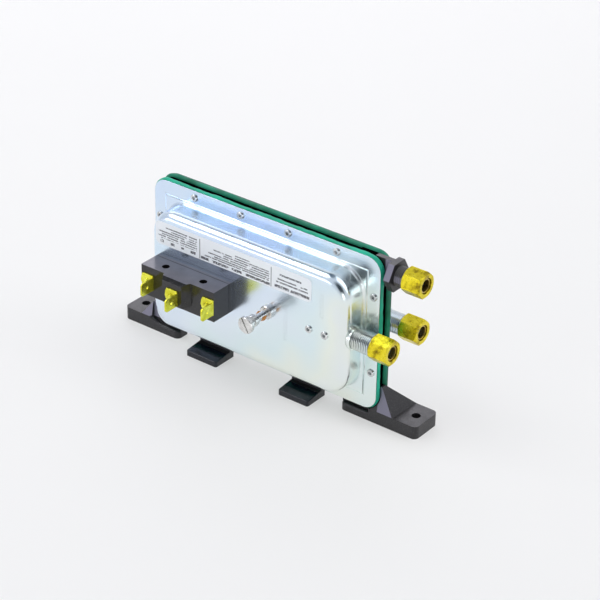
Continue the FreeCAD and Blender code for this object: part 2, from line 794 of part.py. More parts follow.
def rivet_shape(reach_front, reach_back, head, shank):
    """A tubular rivet along Y: a hollow round head at each end of its shank."""
    height = value("rivet_head_height")
    bore = value("rivet_bore")
    depth = value("rivet_bore_depth")
    crown = 0.35 * height
    front = -reach_front - height
    back = reach_back + height
    profile = [(bore, front), (head - crown, front), (head, front + crown), (head, -reach_front),
               (shank, -reach_front), (shank, reach_back), (head, reach_back),
               (head, back - crown), (head - crown, back), (bore, back),
               (bore, back - depth), (0, back - depth), (0, front + depth), (bore, front + depth)]
    points = [FreeCAD.Vector(x, y, 0) for x, y in profile]
    face = Part.Face(Part.makePolygon(points + points[:1]))
    return face.revolve(FreeCAD.Vector(), FreeCAD.Vector(0, 1, 0), 360)


def group(label, shapes):
    """Like pieces that share one node, as separate solids."""
    item = doc.addObject("Part::Feature", label)
    item.Label = label
    item.Shape = Part.makeCompound(shapes)
    PARTS.append(item)
    return item


def moved(shape, across, forward, up):
    copy = shape.copy()
    copy.translate(FreeCAD.Vector(across, -forward, up))
    return copy


def flange_rivets():
    reach = value("flange_face")
    rivet = rivet_shape(reach, reach, value("rivet_head"), value("rivet_radius"))
    shapes = [moved(rivet, value(x), 0, value(z)) for x, z in rivet_spots()]
    place(group("flange_rivets", shapes))


def lever_rivets():
    rivet = rivet_shape(value("sheet"), value("bracket_metal"),
                        value("rivet_head"), value("rivet_radius"))
    shapes = [moved(rivet, value(spot), value("dome_inside"), 0)
              for spot in ("lever_rivet_near", "lever_rivet_far")]
    place(group("lever_rivets", shapes))


def profile_body(label, points, axis="V_Axis", plane="XY_Plane", angle=360.0):
    """A turned piece from its half section."""
    body = new_body(label)
    section = new_sketch(body, "section", plane)
    outline(section, points)
    turn_solid(body, "turned", section, axis, angle)
    return body


def port_tube(label, side):
    """A threaded steel tube through the dome's side wall, with a ring outside it."""
    inner = "dome_length / 2 - port_inside"
    ring = "dome_length / 2 + fit"
    body = profile_body(label, [
        (inner, "tube_bore"), (inner, "thread_radius"), (ring, "thread_radius"), (ring, "port_ring"),
        (ring + " + port_ring_thickness", "port_ring"),
        (ring + " + port_ring_thickness", "thread_radius"),
        ("port_end", "thread_radius"), ("port_end", "hose_bore"),
        ("port_end - hose_seat", "hose_bore"), ("port_end - hose_seat", "tube_bore")], "H_Axis")
    place(body, forward=side + "port_y")


def compression_nut(label, end, forward, up):
    """A brass hexagon nut with chamfered ends; its mouth is at the start of its own X."""
    body = new_body(label)
    hexagon_outline = new_sketch(body, "hexagon_outline", "YZ_Plane")
    hexagon(hexagon_outline, "nut_flats")
    pad(body, "hexagon", hexagon_outline, "nut_length")
    bore = new_sketch(body, "bore_section", "XY_Plane")
    seat = "nut_engaged + ferrule_gap"
    outline(bore, [("0", "0"), ("0", "thread_radius + fit"), (seat, "thread_radius + fit"),
                   (seat + " + nut_cone", "nut_bore"), ("nut_length", "nut_bore"),
                   ("nut_length", "0")])
    turn_cut(body, "bore", bore, "H_Axis")
    for name, start, sign in (("mouth_chamfer", "0", "+"), ("end_chamfer", "nut_length", "-")):
        cone = new_sketch(body, name + "_section", "XY_Plane")
        outline(cone, [(start, "nut_flats / 2 - 0.1 * nut_chamfer"),
                       ("%s %s nut_chamfer" % (start, sign), "nut_flats / sqrt(3) + 0.1 * nut_chamfer"),
                       (start, "nut_flats / sqrt(3) + 0.1 * nut_chamfer")])
        turn_cut(body, name, cone, "H_Axis")
    place(body, end + " - nut_engaged", forward, up,
          turn=(FreeCAD.Vector(1, 0, 0), value("nut_turn")))


def ferrule(label, end, forward, up):
    """The cone that the nut squeezes on the hose tube, with its sleeve in the nut's bore."""
    tip = "nut_length - nut_engaged - ferrule_inset"
    sleeve = "hose_bore + ferrule_sleeve"
    body = profile_body(label, [
        ("ferrule_gap", "hose_bore"), ("ferrule_gap", "ferrule_radius"),
        ("ferrule_gap + ferrule_length * 0.3", "ferrule_radius"),
        ("ferrule_gap + ferrule_length", sleeve), (tip, sleeve), (tip, "hose_bore")], "H_Axis")
    place(body, end, forward, up)


FITTINGS = (("front", "port_end", "port_y", "0"), ("rear", "port_end", "-port_y", "0"),
            ("centre", "core_port_end", "0", "core_port_height"))


def switch_case():
    """The phenolic case of the snap switch; its own Y = 0 is the face of the dome."""
    body = new_body("switch_case")
    case = new_sketch(body, "case_outline", "XZ_Plane", "switch_lid")
    centred(case, "switch_length", "switch_height")
    pad(body, "case", case, "switch_depth - switch_lid")
    block = new_sketch(body, "block_section", "XY_Plane", "block_foot - switch_height / 2")
    outline(block, [("-block_foot_length / 2", "-switch_depth + sheet"),
                    ("-block_foot_length / 2", "-switch_depth"),
                    ("-block_length / 2", "-switch_depth - block_rise"),
                    ("block_length / 2", "-switch_depth - block_rise"),
                    ("block_foot_length / 2", "-switch_depth"),
                    ("block_foot_length / 2", "-switch_depth + sheet")])
    pad(body, "block", block, "switch_height - block_foot")
    slope = new_sketch(body, "slope_section", "YZ_Plane", "-block_foot_length / 2")
    outline(slope, [("-switch_depth - block_rise", "switch_height / 2 - block_drop"),
                    ("-switch_depth - block_rise + block_slope", "switch_height / 2"),
                    ("-switch_depth - block_rise", "switch_height / 2")])
    pocket(body, "slope", slope, "block_foot_length", backward=True)
    well = new_sketch(body, "well_outline", "XZ_Plane", "switch_lid")
    centred(well, "switch_length - 2 * switch_wall", "switch_height - 2 * switch_side_wall")
    pocket(body, "well", well, "switch_well", backward=True)
    pin = new_sketch(body, "pin_circle", "XY_Plane", "blade_pin_end")
    circle(pin, "-blade_pivot", "blade_axis", "blade_pin_radius")
    pocket(body, "pin_bores", pin, "2 * (blade_pin_end)")
    holes = new_sketch(body, "mounting_circles", "XY_Plane", "switch_height / 2")
    for sign in ("", "-"):
        circle(holes, sign + "switch_hole_pitch / 2", "-switch_hole_depth", "switch_hole_radius")
    pocket(body, "mounting_holes", holes, "switch_height")
    rivets = new_sketch(body, "terminal_circles", "XZ_Plane", "switch_lid")
    for across in ("-outer_terminal", "0", "outer_terminal"):
        circle(rivets, across, "0", "terminal_rivet + fit")
    pocket(body, "terminal_holes", rivets, "switch_depth + block_rise", backward=True)
    screws = new_sketch(body, "screw_circles", "XZ_Plane", "switch_lid")
    for sign in ("", "-"):
        circle(screws, sign + "(switch_length / 2 - switch_screw_inset)", "0",
               "switch_screw_radius + fit")
    pocket(body, "screw_holes", screws, "switch_screw_grip", backward=True)
    place(body, "switch_x", "dome_face", "switch_z")


def switch_lid():
    """The plate that closes the case against the dome and guides the plunger."""
    body = new_body("switch_lid")
    lid = new_sketch(body, "lid_outline", "XZ_Plane")
    centred(lid, "switch_length", "switch_height")
    circle(lid, "0", "0", "plunger_radius + fit")
    for sign in ("", "-"):
        circle(lid, sign + "(switch_length / 2 - switch_screw_inset)", "0",
               "switch_screw_radius + fit")
    pad(body, "lid", lid, "switch_lid")
    place(body, "switch_x", "dome_face", "switch_z")


def switch_plunger():
    start = "-switch_lid - fit"
    flange = start + " - plunger_flange_height"
    body = profile_body("switch_plunger", [
        ("0", flange), ("plunger_flange", flange), ("plunger_flange", start),
        ("plunger_radius", start), ("plunger_radius", "plunger_reach - plunger_radius / 2"),
        ("plunger_radius / 2", "plunger_reach"), ("0", "plunger_reach")])
    place(body, "switch_x", "dome_face", "switch_z")


def switch_blade():
    """The moving contact arm inside the case, with an eye round its pin."""
    body = new_body("switch_blade")
    strip = new_sketch(body, "strip_outline", "XZ_Plane", "blade_depth")
    rectangle(strip, "-blade_pivot", "blade_reach", "-blade_width / 2", "blade_width / 2")
    pad(body, "strip", strip, "blade")
    eye = new_sketch(body, "eye_circle", "XY_Plane", "-blade_width / 2")
    circle(eye, "-blade_pivot", "blade_axis", "blade_eye")
    pad(body, "eye", eye, "blade_width")
    bore = new_sketch(body, "bore_circle", "XY_Plane", "blade_width / 2")
    circle(bore, "-blade_pivot", "blade_axis", "blade_pin_radius + fit")
    pocket(body, "bore", bore, "blade_width")
    place(body, "switch_x", "dome_face", "switch_z")


def blade_pin():
    """The pin across the well of the case that the contact arm turns on."""
    body = new_body("blade_pin")
    end = new_sketch(body, "end_circle", "XY_Plane", "-(blade_pin_end)")
    circle(end, "-blade_pivot", "blade_axis", "blade_pin_radius")
    pad(body, "pin", end, "2 * (blade_pin_end)")
    place(body, "switch_x", "dome_face", "switch_z")


def switch_screws():
    """Two screws from inside the dome that hold the lid and the case on its face."""
    radius = value("switch_screw_radius")
    head = value("switch_screw_head")
    top = value("sheet")
    tip = -value("switch_lid + switch_screw_grip") + 0.5
    height = value("switch_screw_head_height")
    shank = Part.makeCylinder(radius, top - tip, FreeCAD.Vector(0, tip, 0), FreeCAD.Vector(0, 1, 0))
    cap = Part.makeCylinder(head, height, FreeCAD.Vector(0, top, 0), FreeCAD.Vector(0, 1, 0))
    screw = shank.fuse(cap)
    reach = value("switch_length / 2 - switch_screw_inset")
    item = group("switch_screws", [moved(screw, reach, 0, 0), moved(screw, -reach, 0, 0)])
    place(item, "switch_x", "dome_face", "switch_z")


def terminal(label, across, depth):
    """A quick-connect terminal: a riveted foot and a blade bent forwards at its right."""
    body = new_body(label)
    foot = new_sketch(body, "foot_outline", "XZ_Plane")
    half = "terminal_width / 2"
    outline(foot, [("-%s * 0.7" % half, "terminal_top"), (half, "terminal_top"),
                   (half, "-terminal_drop"), ("-%s * 0.2" % half, "-terminal_drop"),
                   ("-%s * 0.85" % half, "-terminal_drop * 0.4"), ("-" + half, "0"),
                   ("-%s * 0.9" % half, "terminal_top * 0.6")])
    circle(foot, "0", "0", "terminal_rivet + fit")
    pad(body, "foot", foot, "tab_metal")
    blade = new_sketch(body, "blade_outline", "YZ_Plane", half + " - tab_metal")
    end = "-tab_metal / 2 - terminal_blade"
    outline(blade, [("-tab_metal / 2", "terminal_blade_top"),
                    (end + " + terminal_tip_cut", "terminal_blade_top"),
                    (end, "terminal_blade_top - terminal_tip_cut"),
                    (end, "-terminal_blade_drop + terminal_tip_cut"),
                    (end + " + terminal_tip_cut", "-terminal_blade_drop"),
                    ("-tab_metal / 2", "-terminal_blade_drop")])
    circle(blade, "-terminal_blade * 0.55",
           "(terminal_blade_top - terminal_blade_drop) / 2", "terminal_hole")
    pad(body, "blade", blade, "tab_metal")
    place(body, "switch_x + (%s)" % across, "dome_face + " + depth, "switch_z")


TERMINALS = (("left_terminal", "-outer_terminal", "switch_depth"),
             ("middle_terminal", "0", "switch_depth + block_rise"),
             ("right_terminal", "outer_terminal", "switch_depth"))


def terminal_rivets():
    """Three rivets from the terminals into the well of the case."""
    shank = value("terminal_rivet")
    head = value("terminal_rivet_head")
    height = value("terminal_rivet_height")
    well = value("switch_lid + switch_well")
    shapes = []
    for label, across, depth in TERMINALS:
        face = value(depth + " + tab_metal")
        tip = [(0, -face - height), (0.6 * head, -face - height), (head, -face - 0.35 * height),
               (head, -face), (shank, -face), (shank, -well), (0, -well)]
        points = [FreeCAD.Vector(x, y, 0) for x, y in tip]
        section = Part.Face(Part.makePolygon(points + points[:1]))
        solid = section.revolve(FreeCAD.Vector(), FreeCAD.Vector(0, 1, 0), 360)
        shapes.append(moved(solid, value(across), 0, 0))
    place(group("terminal_rivets", shapes), "switch_x", "dome_face", "switch_z")


def adjusting_screw():
    """The slotted screw that loads the spring; its own Y = 0 is the face of the dome."""
    head = "-screw_reach + screw_head_height"
    groove = "-screw_shoulder_end - (screw_reach - screw_head_height - screw_shoulder_end) / 2"
    body = profile_body("adjusting_screw", [
        ("0", "-screw_reach"), ("screw_head - 0.3 * slot_depth", "-screw_reach"),
        ("screw_head", "-screw_reach + 0.3 * slot_depth"), ("screw_head", head),
        ("screw_shoulder", head), ("screw_shoulder", groove + " - slot_width / 2"),
        ("screw_shoulder - slot_width", groove), ("screw_shoulder", groove + " + slot_width / 2"),
        ("screw_shoulder", "-screw_shoulder_end"), ("screw_radius", "-screw_shoulder_end"),
        ("screw_radius", "screw_inner"), ("0", "screw_inner")])
    slot = new_sketch(body, "slot_outline", "XZ_Plane", "screw_reach")
    centred(slot, "slot_width", "2.5 * screw_head")
    pocket(body, "slot", slot, "slot_depth")
    place(body, "screw_x", "dome_face", "screw_z",
          turn=(FreeCAD.Vector(0, -1, 0), value("slot_turn")))


def screw_bushing():
    """The threaded bushing clinched in the dome round the screw."""
    body = profile_body("screw_bushing", [
        ("screw_radius + fit", "-bushing_front"), ("bushing_radius * 0.9", "-bushing_front"),
        ("bushing_radius", "-bushing_front * 0.8"), ("bushing_radius", "0"),
        ("bushing_neck", "0"), ("bushing_neck", "sheet"), ("bushing_flange", "sheet"),
        ("bushing_flange", "sheet + bushing_back"),
        ("screw_radius + fit", "sheet + bushing_back")])
    place(body, "screw_x", "dome_face", "screw_z")


def screw_lock():
    """A drop of locking compound on the neck of the screw."""
    body = profile_body("screw_lock", [
        ("screw_radius", "-lock_end"), ("lock_radius * 0.85", "-lock_end + lock_radius * 0.2"),
        ("lock_radius", "-(lock_end + lock_start) / 2"),
        ("lock_radius * 0.8", "-lock_start - lock_radius * 0.15"),
        ("screw_radius", "-lock_start")], angle=230.0)
    place(body, "screw_x", "dome_face", "screw_z", turn=(FreeCAD.Vector(0, 1, 0), -10))


def spring_seat():
    """The button between the end of the screw and the spring."""
    end = "screw_inner + seat_thickness"
    body = profile_body("spring_seat", [
        ("0", "screw_inner"), ("seat_radius", "screw_inner"), ("seat_radius", end),
        ("spring_radius - spring_wire", end), ("spring_radius - spring_wire", end + " + seat_thickness"),
        ("0", end + " + seat_thickness")])
    place(body, "screw_x", "dome_face", "screw_z")


def calibration_spring():
    """The coil between the seat and the lever."""
    body = new_body("calibration_spring")
    start = "screw_inner + seat_thickness + spring_wire / 2 + fit"
    wire = new_sketch(body, "wire_circle", "XY_Plane")
    circle(wire, "spring_radius", start, "spring_wire / 2")
    coil = body.newObject("PartDesign::AdditiveHelix", "coil")
    coil.Profile = wire
    coil.ReferenceAxis = (wire, ["V_Axis"])
    coil.Mode = "height-turns-growth"
    coil.Growth = 0.0
    bind(coil, "Height", "dome_face - lever_front - (%s) - spring_wire / 2 - fit" % start)
    bind(coil, "Turns", "spring_turns")
    doc.recompute()
    place(body, "screw_x", "dome_face", "screw_z")


def lever_arm():
    """The strip that the stud pushes, with an eye round its pin and a raised tip."""
    body = new_body("lever_arm")
    strip = new_sketch(body, "strip_section", "XY_Plane", "-lever_width / 2")
    outline(strip, [("lever_pivot_x", "-lever_stop"), ("lever_rise_x", "-lever_stop"),
                    ("lever_rise_x - lever_rise_run", "-lever_raised + lever_metal"),
                    ("lever_tip_x", "-lever_raised + lever_metal"),
                    ("lever_tip_x", "-lever_raised"),
                    ("lever_rise_x - lever_rise_run + lever_metal * tan(22.5)", "-lever_raised"),
                    ("lever_rise_x + lever_metal * tan(22.5)", "-lever_front"),
                    ("lever_pivot_x", "-lever_front")])
    pad(body, "strip", strip, "lever_width")
    eye = new_sketch(body, "eye_circle", "XY_Plane", "-lever_width / 2")
    circle(eye, "lever_pivot_x", "-lever_front + lever_metal / 2", "eye_radius")
    pad(body, "eye", eye, "lever_width")
    bore = new_sketch(body, "bore_circle", "XY_Plane", "lever_width / 2")
    circle(bore, "lever_pivot_x", "-lever_front + lever_metal / 2", "pin_radius + fit")
    pocket(body, "bore", bore, "lever_width")
    place(body)


def lever_bracket():
    """The riveted bracket whose two ears hold the lever's pin."""
    body = new_body("lever_bracket")
    inside = "lever_width / 2 + ear_gap"
    base = new_sketch(body, "base_outline", "XZ_Plane", "dome_inside - bracket_metal")
    rectangle(base, "bracket_start", "bracket_end", "-(%s) - ear" % inside, inside + " + ear")
    for spot in ("lever_rivet_near", "lever_rivet_far"):
        circle(base, spot, "0", "rivet_radius + fit")
    pad(body, "base", base, "bracket_metal")
    pivot = "-lever_front + lever_metal / 2"
    for name, start in (("lower_ear", "-(%s) - ear" % inside), ("upper_ear", inside)):
        ear = new_sketch(body, name + "_outline", "XY_Plane", start)
        left = "lever_pivot_x - ear_length / 2"
        right = "lever_pivot_x + ear_length / 2"
        outline(ear, [(left, "-dome_inside + bracket_metal / 2"),
                      (right, "-dome_inside + bracket_metal / 2"),
                      (right, pivot), ("lever_pivot_x + ear_length / 4", pivot + " + ear_length / 3"),
                      ("lever_pivot_x - ear_length / 4", pivot + " + ear_length / 3"),
                      (left, pivot)])
        circle(ear, "lever_pivot_x", pivot, "pin_radius + fit")
        pad(body, name, ear, "ear")
    place(body)


def lever_pin():
    half = "(lever_width / 2 + ear_gap + ear)"
    outer = half + " + pin_head_height"
    body = profile_body("lever_pin", [
        ("0", "-(%s)" % outer), ("pin_head", "-(%s)" % outer),
        ("pin_head", "-" + half), ("pin_radius", "-" + half),
        ("pin_radius", half), ("pin_head", half), ("pin_head", outer), ("0", outer)],
        plane="XZ_Plane")
    place(body, "lever_pivot_x", "lever_front - lever_metal / 2")


def backing_plate(label, front):
    """A stiff plate on the outside of a diaphragm's web."""
    body = new_body(label)
    plate = new_sketch(body, "plate_outline", "XZ_Plane", "core / 2 + web")
    centred(plate, "roll_length - 2 * roll_width - 2 * backing_gap",
            "roll_height - 2 * roll_width - 2 * backing_gap")
    pad(body, "plate", plate, "backing")
    round_edges(body, "plate_corners", "backing_corner", runs_along("y"))
    hole = new_sketch(body, "stud_circle", "XZ_Plane", "core / 2 + web + backing")
    circle(hole, "0", "0", "stud_radius + fit")
    pocket(body, "stud_hole", hole, "backing")
    if front:
        place(body)
    else:
        place(body, turn=(FreeCAD.Vector(1, 0, 0), 180))


def diaphragm_spacer():
    body = new_body("diaphragm_spacer")
    ring = new_sketch(body, "ring_outline", "XZ_Plane", "-core / 2")
    circle(ring, "0", "0", "spacer_radius")
    circle(ring, "0", "0", "stud_radius + fit")
    pad(body, "ring", ring, "core")
    place(body)


def diaphragm_stud():
    """The stud that joins both diaphragms and pushes the lever with its round tip."""
    stack = "(core / 2 + web + backing)"
    body = profile_body("diaphragm_stud", [
        ("0", "-stud_reach"), ("stud_radius / 2", "-stud_reach"),
        ("stud_radius", "-stud_reach + stud_radius / 2"), ("stud_radius", stack),
        ("stud_head", stack), ("stud_head", stack + " + stud_head_height"),
        ("0", stack + " + stud_head_height")])
    place(body)


def stud_nut():
    body = new_body("stud_nut")
    nut = new_sketch(body, "nut_outline", "XZ_Plane", "core / 2 + web + backing")
    hexagon(nut, "stud_nut_flats")
    circle(nut, "0", "0", "stud_radius + fit")
    pad(body, "nut", nut, "stud_nut_height")
    place(body)


def label_film():
    body = new_body("label")
    film = new_sketch(body, "film_outline", "XZ_Plane", "dome_face")
    rectangle(film, "label_left", "label_right", "label_bottom", "label_top")
    pad(body, "film", film, "label_film")
    round_edges(body, "film_corners", "label_corner", runs_along("y"))
    place(body)


centre_plate()
housing("front_housing", True)
housing("rear_housing", False)
diaphragm("front_diaphragm", True)
diaphragm("rear_diaphragm", False)
flange_rivets()
port_tube("front_port_tube", "")
port_tube("rear_port_tube", "-")
for side, end, forward, up in FITTINGS:
    compression_nut(side + "_nut", end, forward, up)
    ferrule(side + "_ferrule", end, forward, up)
backing_plate("front_backing_plate", True)
backing_plate("rear_backing_plate", False)
diaphragm_spacer()
diaphragm_stud()
stud_nut()
lever_bracket()
lever_rivets()
lever_pin()
lever_arm()
switch_case()
switch_lid()
switch_plunger()
blade_pin()
switch_blade()
switch_screws()
for name, across, depth in TERMINALS:
    terminal(name, across, depth)
terminal_rivets()
screw_bushing()
adjusting_screw()
screw_lock()
spring_seat()
calibration_spring()
label_film()
doc.recompute()

for item in doc.Objects:
    if "Invalid" in item.State or "Error" in item.State:
        raise RuntimeError("%s failed: %s" % (item.Label, item.State))
for item in PARTS:
    if item.Shape.isNull() or not item.Shape.isValid():
        raise RuntimeError("%s has no valid shape" % item.Label)

os.makedirs("parts", exist_ok=True)
for item in PARTS:
    item.Shape.exportStep(os.path.join("parts", item.Label + ".step"))
    box = item.Shape.BoundBox
    print("%-20s %2d solids %9.1f mm3  x %.1f..%.1f  y %.1f..%.1f  z %.1f..%.1f" % (
        item.Label, len(item.Shape.Solids), item.Shape.Volume,
        box.XMin, box.XMax, box.YMin, box.YMax, box.ZMin, box.ZMax))
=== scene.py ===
import math
import random

import bmesh
import bpy
from mathutils import Matrix, Vector


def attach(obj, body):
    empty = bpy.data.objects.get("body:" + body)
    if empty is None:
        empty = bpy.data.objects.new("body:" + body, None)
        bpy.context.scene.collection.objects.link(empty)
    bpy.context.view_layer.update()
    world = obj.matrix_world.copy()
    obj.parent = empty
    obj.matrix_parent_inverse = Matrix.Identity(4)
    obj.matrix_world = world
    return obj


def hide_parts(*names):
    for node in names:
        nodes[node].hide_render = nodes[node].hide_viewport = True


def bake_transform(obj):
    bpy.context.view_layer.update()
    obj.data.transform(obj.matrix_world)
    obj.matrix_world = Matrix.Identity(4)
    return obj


MM = 0.001
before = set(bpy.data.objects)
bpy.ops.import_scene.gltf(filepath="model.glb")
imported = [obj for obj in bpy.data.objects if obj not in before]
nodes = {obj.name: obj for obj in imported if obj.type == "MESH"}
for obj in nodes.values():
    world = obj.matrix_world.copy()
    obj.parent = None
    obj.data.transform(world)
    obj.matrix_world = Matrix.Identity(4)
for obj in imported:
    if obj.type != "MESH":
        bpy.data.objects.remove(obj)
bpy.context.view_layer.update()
scene = bpy.context.scene

# Places and sizes in millimetres, in the frame of the whole switch.
MID_Y = -6.1
CASE_Z = 52.3
CASE_HALF = (73.8, 44.0)
CASE_CORNER = 8.0
END_MARGIN = 0.1
# The rim of the plate between the gaskets, painted black as shade: its depth and its margin.
PLATE_RIM_DEPTH = 1.6
PLATE_RIM_MARGIN = 0.2
TAB_TOP = 6.0
TAB_BACK = -10.5
FOOT_TOP = 7.4
PANEL_HALF = (66.1, 36.3)
BORDER_WIDTH = 0.45
SWITCH_TOP = 61.2
SWITCH_SEAM = -28.5
SEAM_WIDTH = 0.35
# The dome's outline, and how far its soft root reaches along the flange and up from the middle.
DOME_HALF = (64.6, 34.8)
DOME_CORNER = 14.0
ROOT_REACH = (0.9, 1.9)
ROOT_DEPTH = (8.0, 9.5)
# The zinc plating turns blue between two heights, which rise along X by the slope.
BLUE_HEIGHTS = (40.0, 110.0)
BLUE_SLOPE = 0.35
BLUE_SHARE = 0.75
# Facets count as front ones, with a painted lavender sheen, if they face further to the front and less
# down than this.
FACET_FRONT = -0.8
FACET_DOWN = -0.2
# Radii of the rounded edges that only the shading has.
STEEL_EDGE = 0.25
ROOT_EDGE = 1.9
PART_EDGE = 0.3
SWITCH_EDGE = 0.2
SMALL_EDGE = 0.15

# The threads. The profile has shares of a turn and of the depth at its corners.
THREAD_PITCH = 25.4 / 24
THREAD_RADIUS = 5.556
THREAD_DEPTH = 0.6
THREAD_COLUMNS = 48
THREAD_PROFILE = ((0.0, 0.0), (0.125, 0.0), (0.5, 1.0), (0.625, 1.0))
THREAD_SINK = 0.02
END_TOLERANCE = 0.01
RADIUS_TOLERANCE = 0.02
WELD = 0.002
# A groove is dark from GROOVE_START to the first of its radii, and clear from the second.
GROOVE_START = 4.9
GROOVE_RADII = (5.05, 5.5)
GROOVE_SHARE = 0.85
# A painted highlight makes a crest of the black stub pale between two radii, and its thread ends at
# CREST_END.
CREST_RADII = (5.2, 5.5)
CREST_END = 5.6
# Threaded nodes: the middle in Y and Z, and the ends of the thread in X.
THREADED = {
    "front_port_tube": (-19.15, CASE_Z, 65.85, 84.7),
    "rear_port_tube": (6.95, CASE_Z, 65.85, 84.7),
    "centre_plate": (MID_Y, 88.6, 81.4, 94.1),
}

# The gaskets' faces in Y, and which of them lies on a flange.
GASKETS = {"front_diaphragm": (-10.5, -7.6, -1), "rear_diaphragm": (-4.6, -1.7, 1)}
GASKET_LIP = 0.7
LIP_CLEARANCE = 0.06
FACE_CLEARANCE = 0.03
RIM_INSET = 1.2
RIM_ROOT = -1.6
RIM_STEP = 1.2
RIM_BULGE = 0.74
BULGE_LIMITS = (0.34, 0.86)
RIM_SQUARENESS = 0.55
RIM_WAVES = 4
WAVE_SIZES = (0.03, 0.12)
WAVE_LENGTHS = (6.0, 19.0)
WAVE_STARTS = (0, 6)
# How the rivets pinch the rim: by how much, and how far from the rivet that starts and fades.
PINCH = 0.42
PINCH_START = 3.6
PINCH_FADE = 6.0
RIVET_SPOTS = [(side * x, end * z) for side in (1, -1) for end in (1, -1)
               for x, z in ((46.5, 40.0), (15.5, 40.0), (70.1, 22.15))]

# Label: dividing lines, and rows of print with left, right, middle height, height of the bars.
LABEL_DIVIDERS = (-30.2, 16.9)
DIVIDER_ENDS = (68.3, 79.8)
DIVIDER_HALF_WIDTH = 0.22
LABEL_ROWS = (
    (-53.3, -32.2, 78.5, 0.75), (-49.5, -32.2, 77.1, 0.70), (-58.3, -32.4, 75.8, 0.75),
    (-56.0, -32.2, 74.5, 0.70), (-58.4, -32.2, 73.2, 0.75), (-56.8, -32.4, 71.9, 0.45),
    (-57.0, -54.9, 70.1, 1.60), (-50.4, -47.4, 70.1, 1.50), (-43.6, -41.0, 70.1, 1.20),
    (-36.6, -33.0, 70.1, 1.60),
    (-8.0, 3.0, 77.9, 0.60), (-21.0, 15.6, 76.5, 0.70), (-14.5, 15.8, 75.2, 0.75),
    (-25.0, 15.6, 73.9, 0.70), (-20.5, 15.8, 72.6, 0.75), (-27.0, 15.6, 71.4, 0.70),
    (-29.4, 16.2, 69.5, 1.55),
    (22.4, 36.2, 77.2, 1.10), (21.0, 40.0, 74.6, 0.85), (20.2, 40.4, 72.8, 0.90),
    (19.2, 41.4, 70.2, 1.60),
)
LARGE_PRINT_HEIGHT = 1.0
# How fine the letters and the words are, per metre, and the share of a row that each leaves out.
SMALL_PRINT = (2600.0, 330.0)
LARGE_PRINT = (1500.0, 240.0)
PRINT_GAPS = (0.42, 0.38)
# Columns of faint stamped boxes on the face: left, right, bottom, top. A box's half height is a
# share of the pitch, and its hollow a share of the box.
STAMPS = ((25.2, 27.6, 39.6, 64.8), (47.8, 50.4, 61.2, 75.6))
STAMP_PITCH = 3.6
STAMP_HALF_SHARE = 0.36
STAMP_HOLLOW = 0.66

SMOOTH_ANGLE = 35.0

# The studio, in metres and watts.
FLOOR_HALF_WIDTH = 2.4
FLOOR_FRONT = -1.6
FLOOR_BACK = 0.75
FLOOR_BEND = 0.5
WALL_TOP = 2.2
FLOOR_TURN = 37.0
FLOOR_LIFT = 0.50
FLOOR_GLOW = (0.955, 0.953, 0.950)
GLOW_STRENGTH = 0.98
ROOM_STRENGTH = 0.76
ROOM_COLOUR = (0.95, 0.96, 1.0)
# Directions in which the room is darker, the shares of the way there where that starts and is
# full, and the colour there. The first is where the photographer stands, the second the ceiling.
DIM_SIDES = (((0.521, -0.693, 0.497), 0.84, 0.95, (0.02, 0.03, 0.04)),
             ((-0.50, 0.08, 0.862), 0.80, 0.93, (0.10, 0.15, 0.20)))
MIDDLE = (0.0, 0.0, 0.05)
WHITE = (1.0, 1.0, 1.0)
# Lights: place, target, size, power, colour.
LIGHTS = {
    "key": ((-0.85, -0.47, 1.28), MIDDLE, (0.7, 0.7), 7.0, WHITE),
    "fill": ((1.2, 0.5, 0.9), MIDDLE, (0.8, 0.9), 3.5, WHITE),
    "top": ((0.6, 0.3, 1.4), (0.0, 0.0, 0.0), (1.0, 1.0), 3.0, WHITE),
    "front": ((-0.68, -1.03, 0.26), MIDDLE, (0.8, 0.20), 1.5, (0.93, 0.90, 1.0)),
    "back": ((-0.60, 0.75, 0.56), MIDDLE, (0.9, 0.45), 2.5, (0.92, 0.90, 1.0)),
    "side": ((0.85, -0.88, 0.14), MIDDLE, (0.35, 0.35), 0.9, WHITE),
}
# The photo's camera: its azimuth, elevation and roll, its focal length and its width in pixels.
CAMERA_PLACE = (0.61061, -0.79055, 0.61530)
CAMERA_ANGLES = (36.97, 29.82, 1.16)
CAMERA_NEAR = 0.05
FOCAL_PIXELS = 2181.8
PICTURE_PIXELS = 600.0
SENSOR_WIDTH = 36.0


class Tree:
    """Short ways to add nodes to a node tree and to link them."""

    def __init__(self, tree):
        self.tree = tree

    def add(self, kind, **sockets):
        node = self.tree.nodes.new(kind)
        for name, setting in sockets.items():
            self.put(node.inputs[name.replace("_", " ")], setting)
        return node

    def put(self, socket, setting):
        if isinstance(setting, bpy.types.NodeSocket):
            self.tree.links.new(setting, socket)
        else:
            socket.default_value = setting

    def ramp(self, value, *stops):
        node = self.add("ShaderNodeValToRGB", Fac=value)
        elements = node.color_ramp.elements
        while len(elements) < len(stops):
            elements.new(0.5)
        for element, (place, colour) in zip(elements, stops):
            element.position = place
            element.color = (*colour, 1.0)
        return node.outputs["Color"]

    def blend(self, factor, first, second, mode="MIX"):
        node = self.tree.nodes.new("ShaderNodeMix")
        node.data_type = "RGBA"
        node.blend_type = mode
        self.put(node.inputs["Factor"], factor)
        for socket, colour in (("A", first), ("B", second)):
            self.put(node.inputs[socket], (*colour, 1.0) if isinstance(colour, tuple) else colour)
        return node.outputs["Result"]


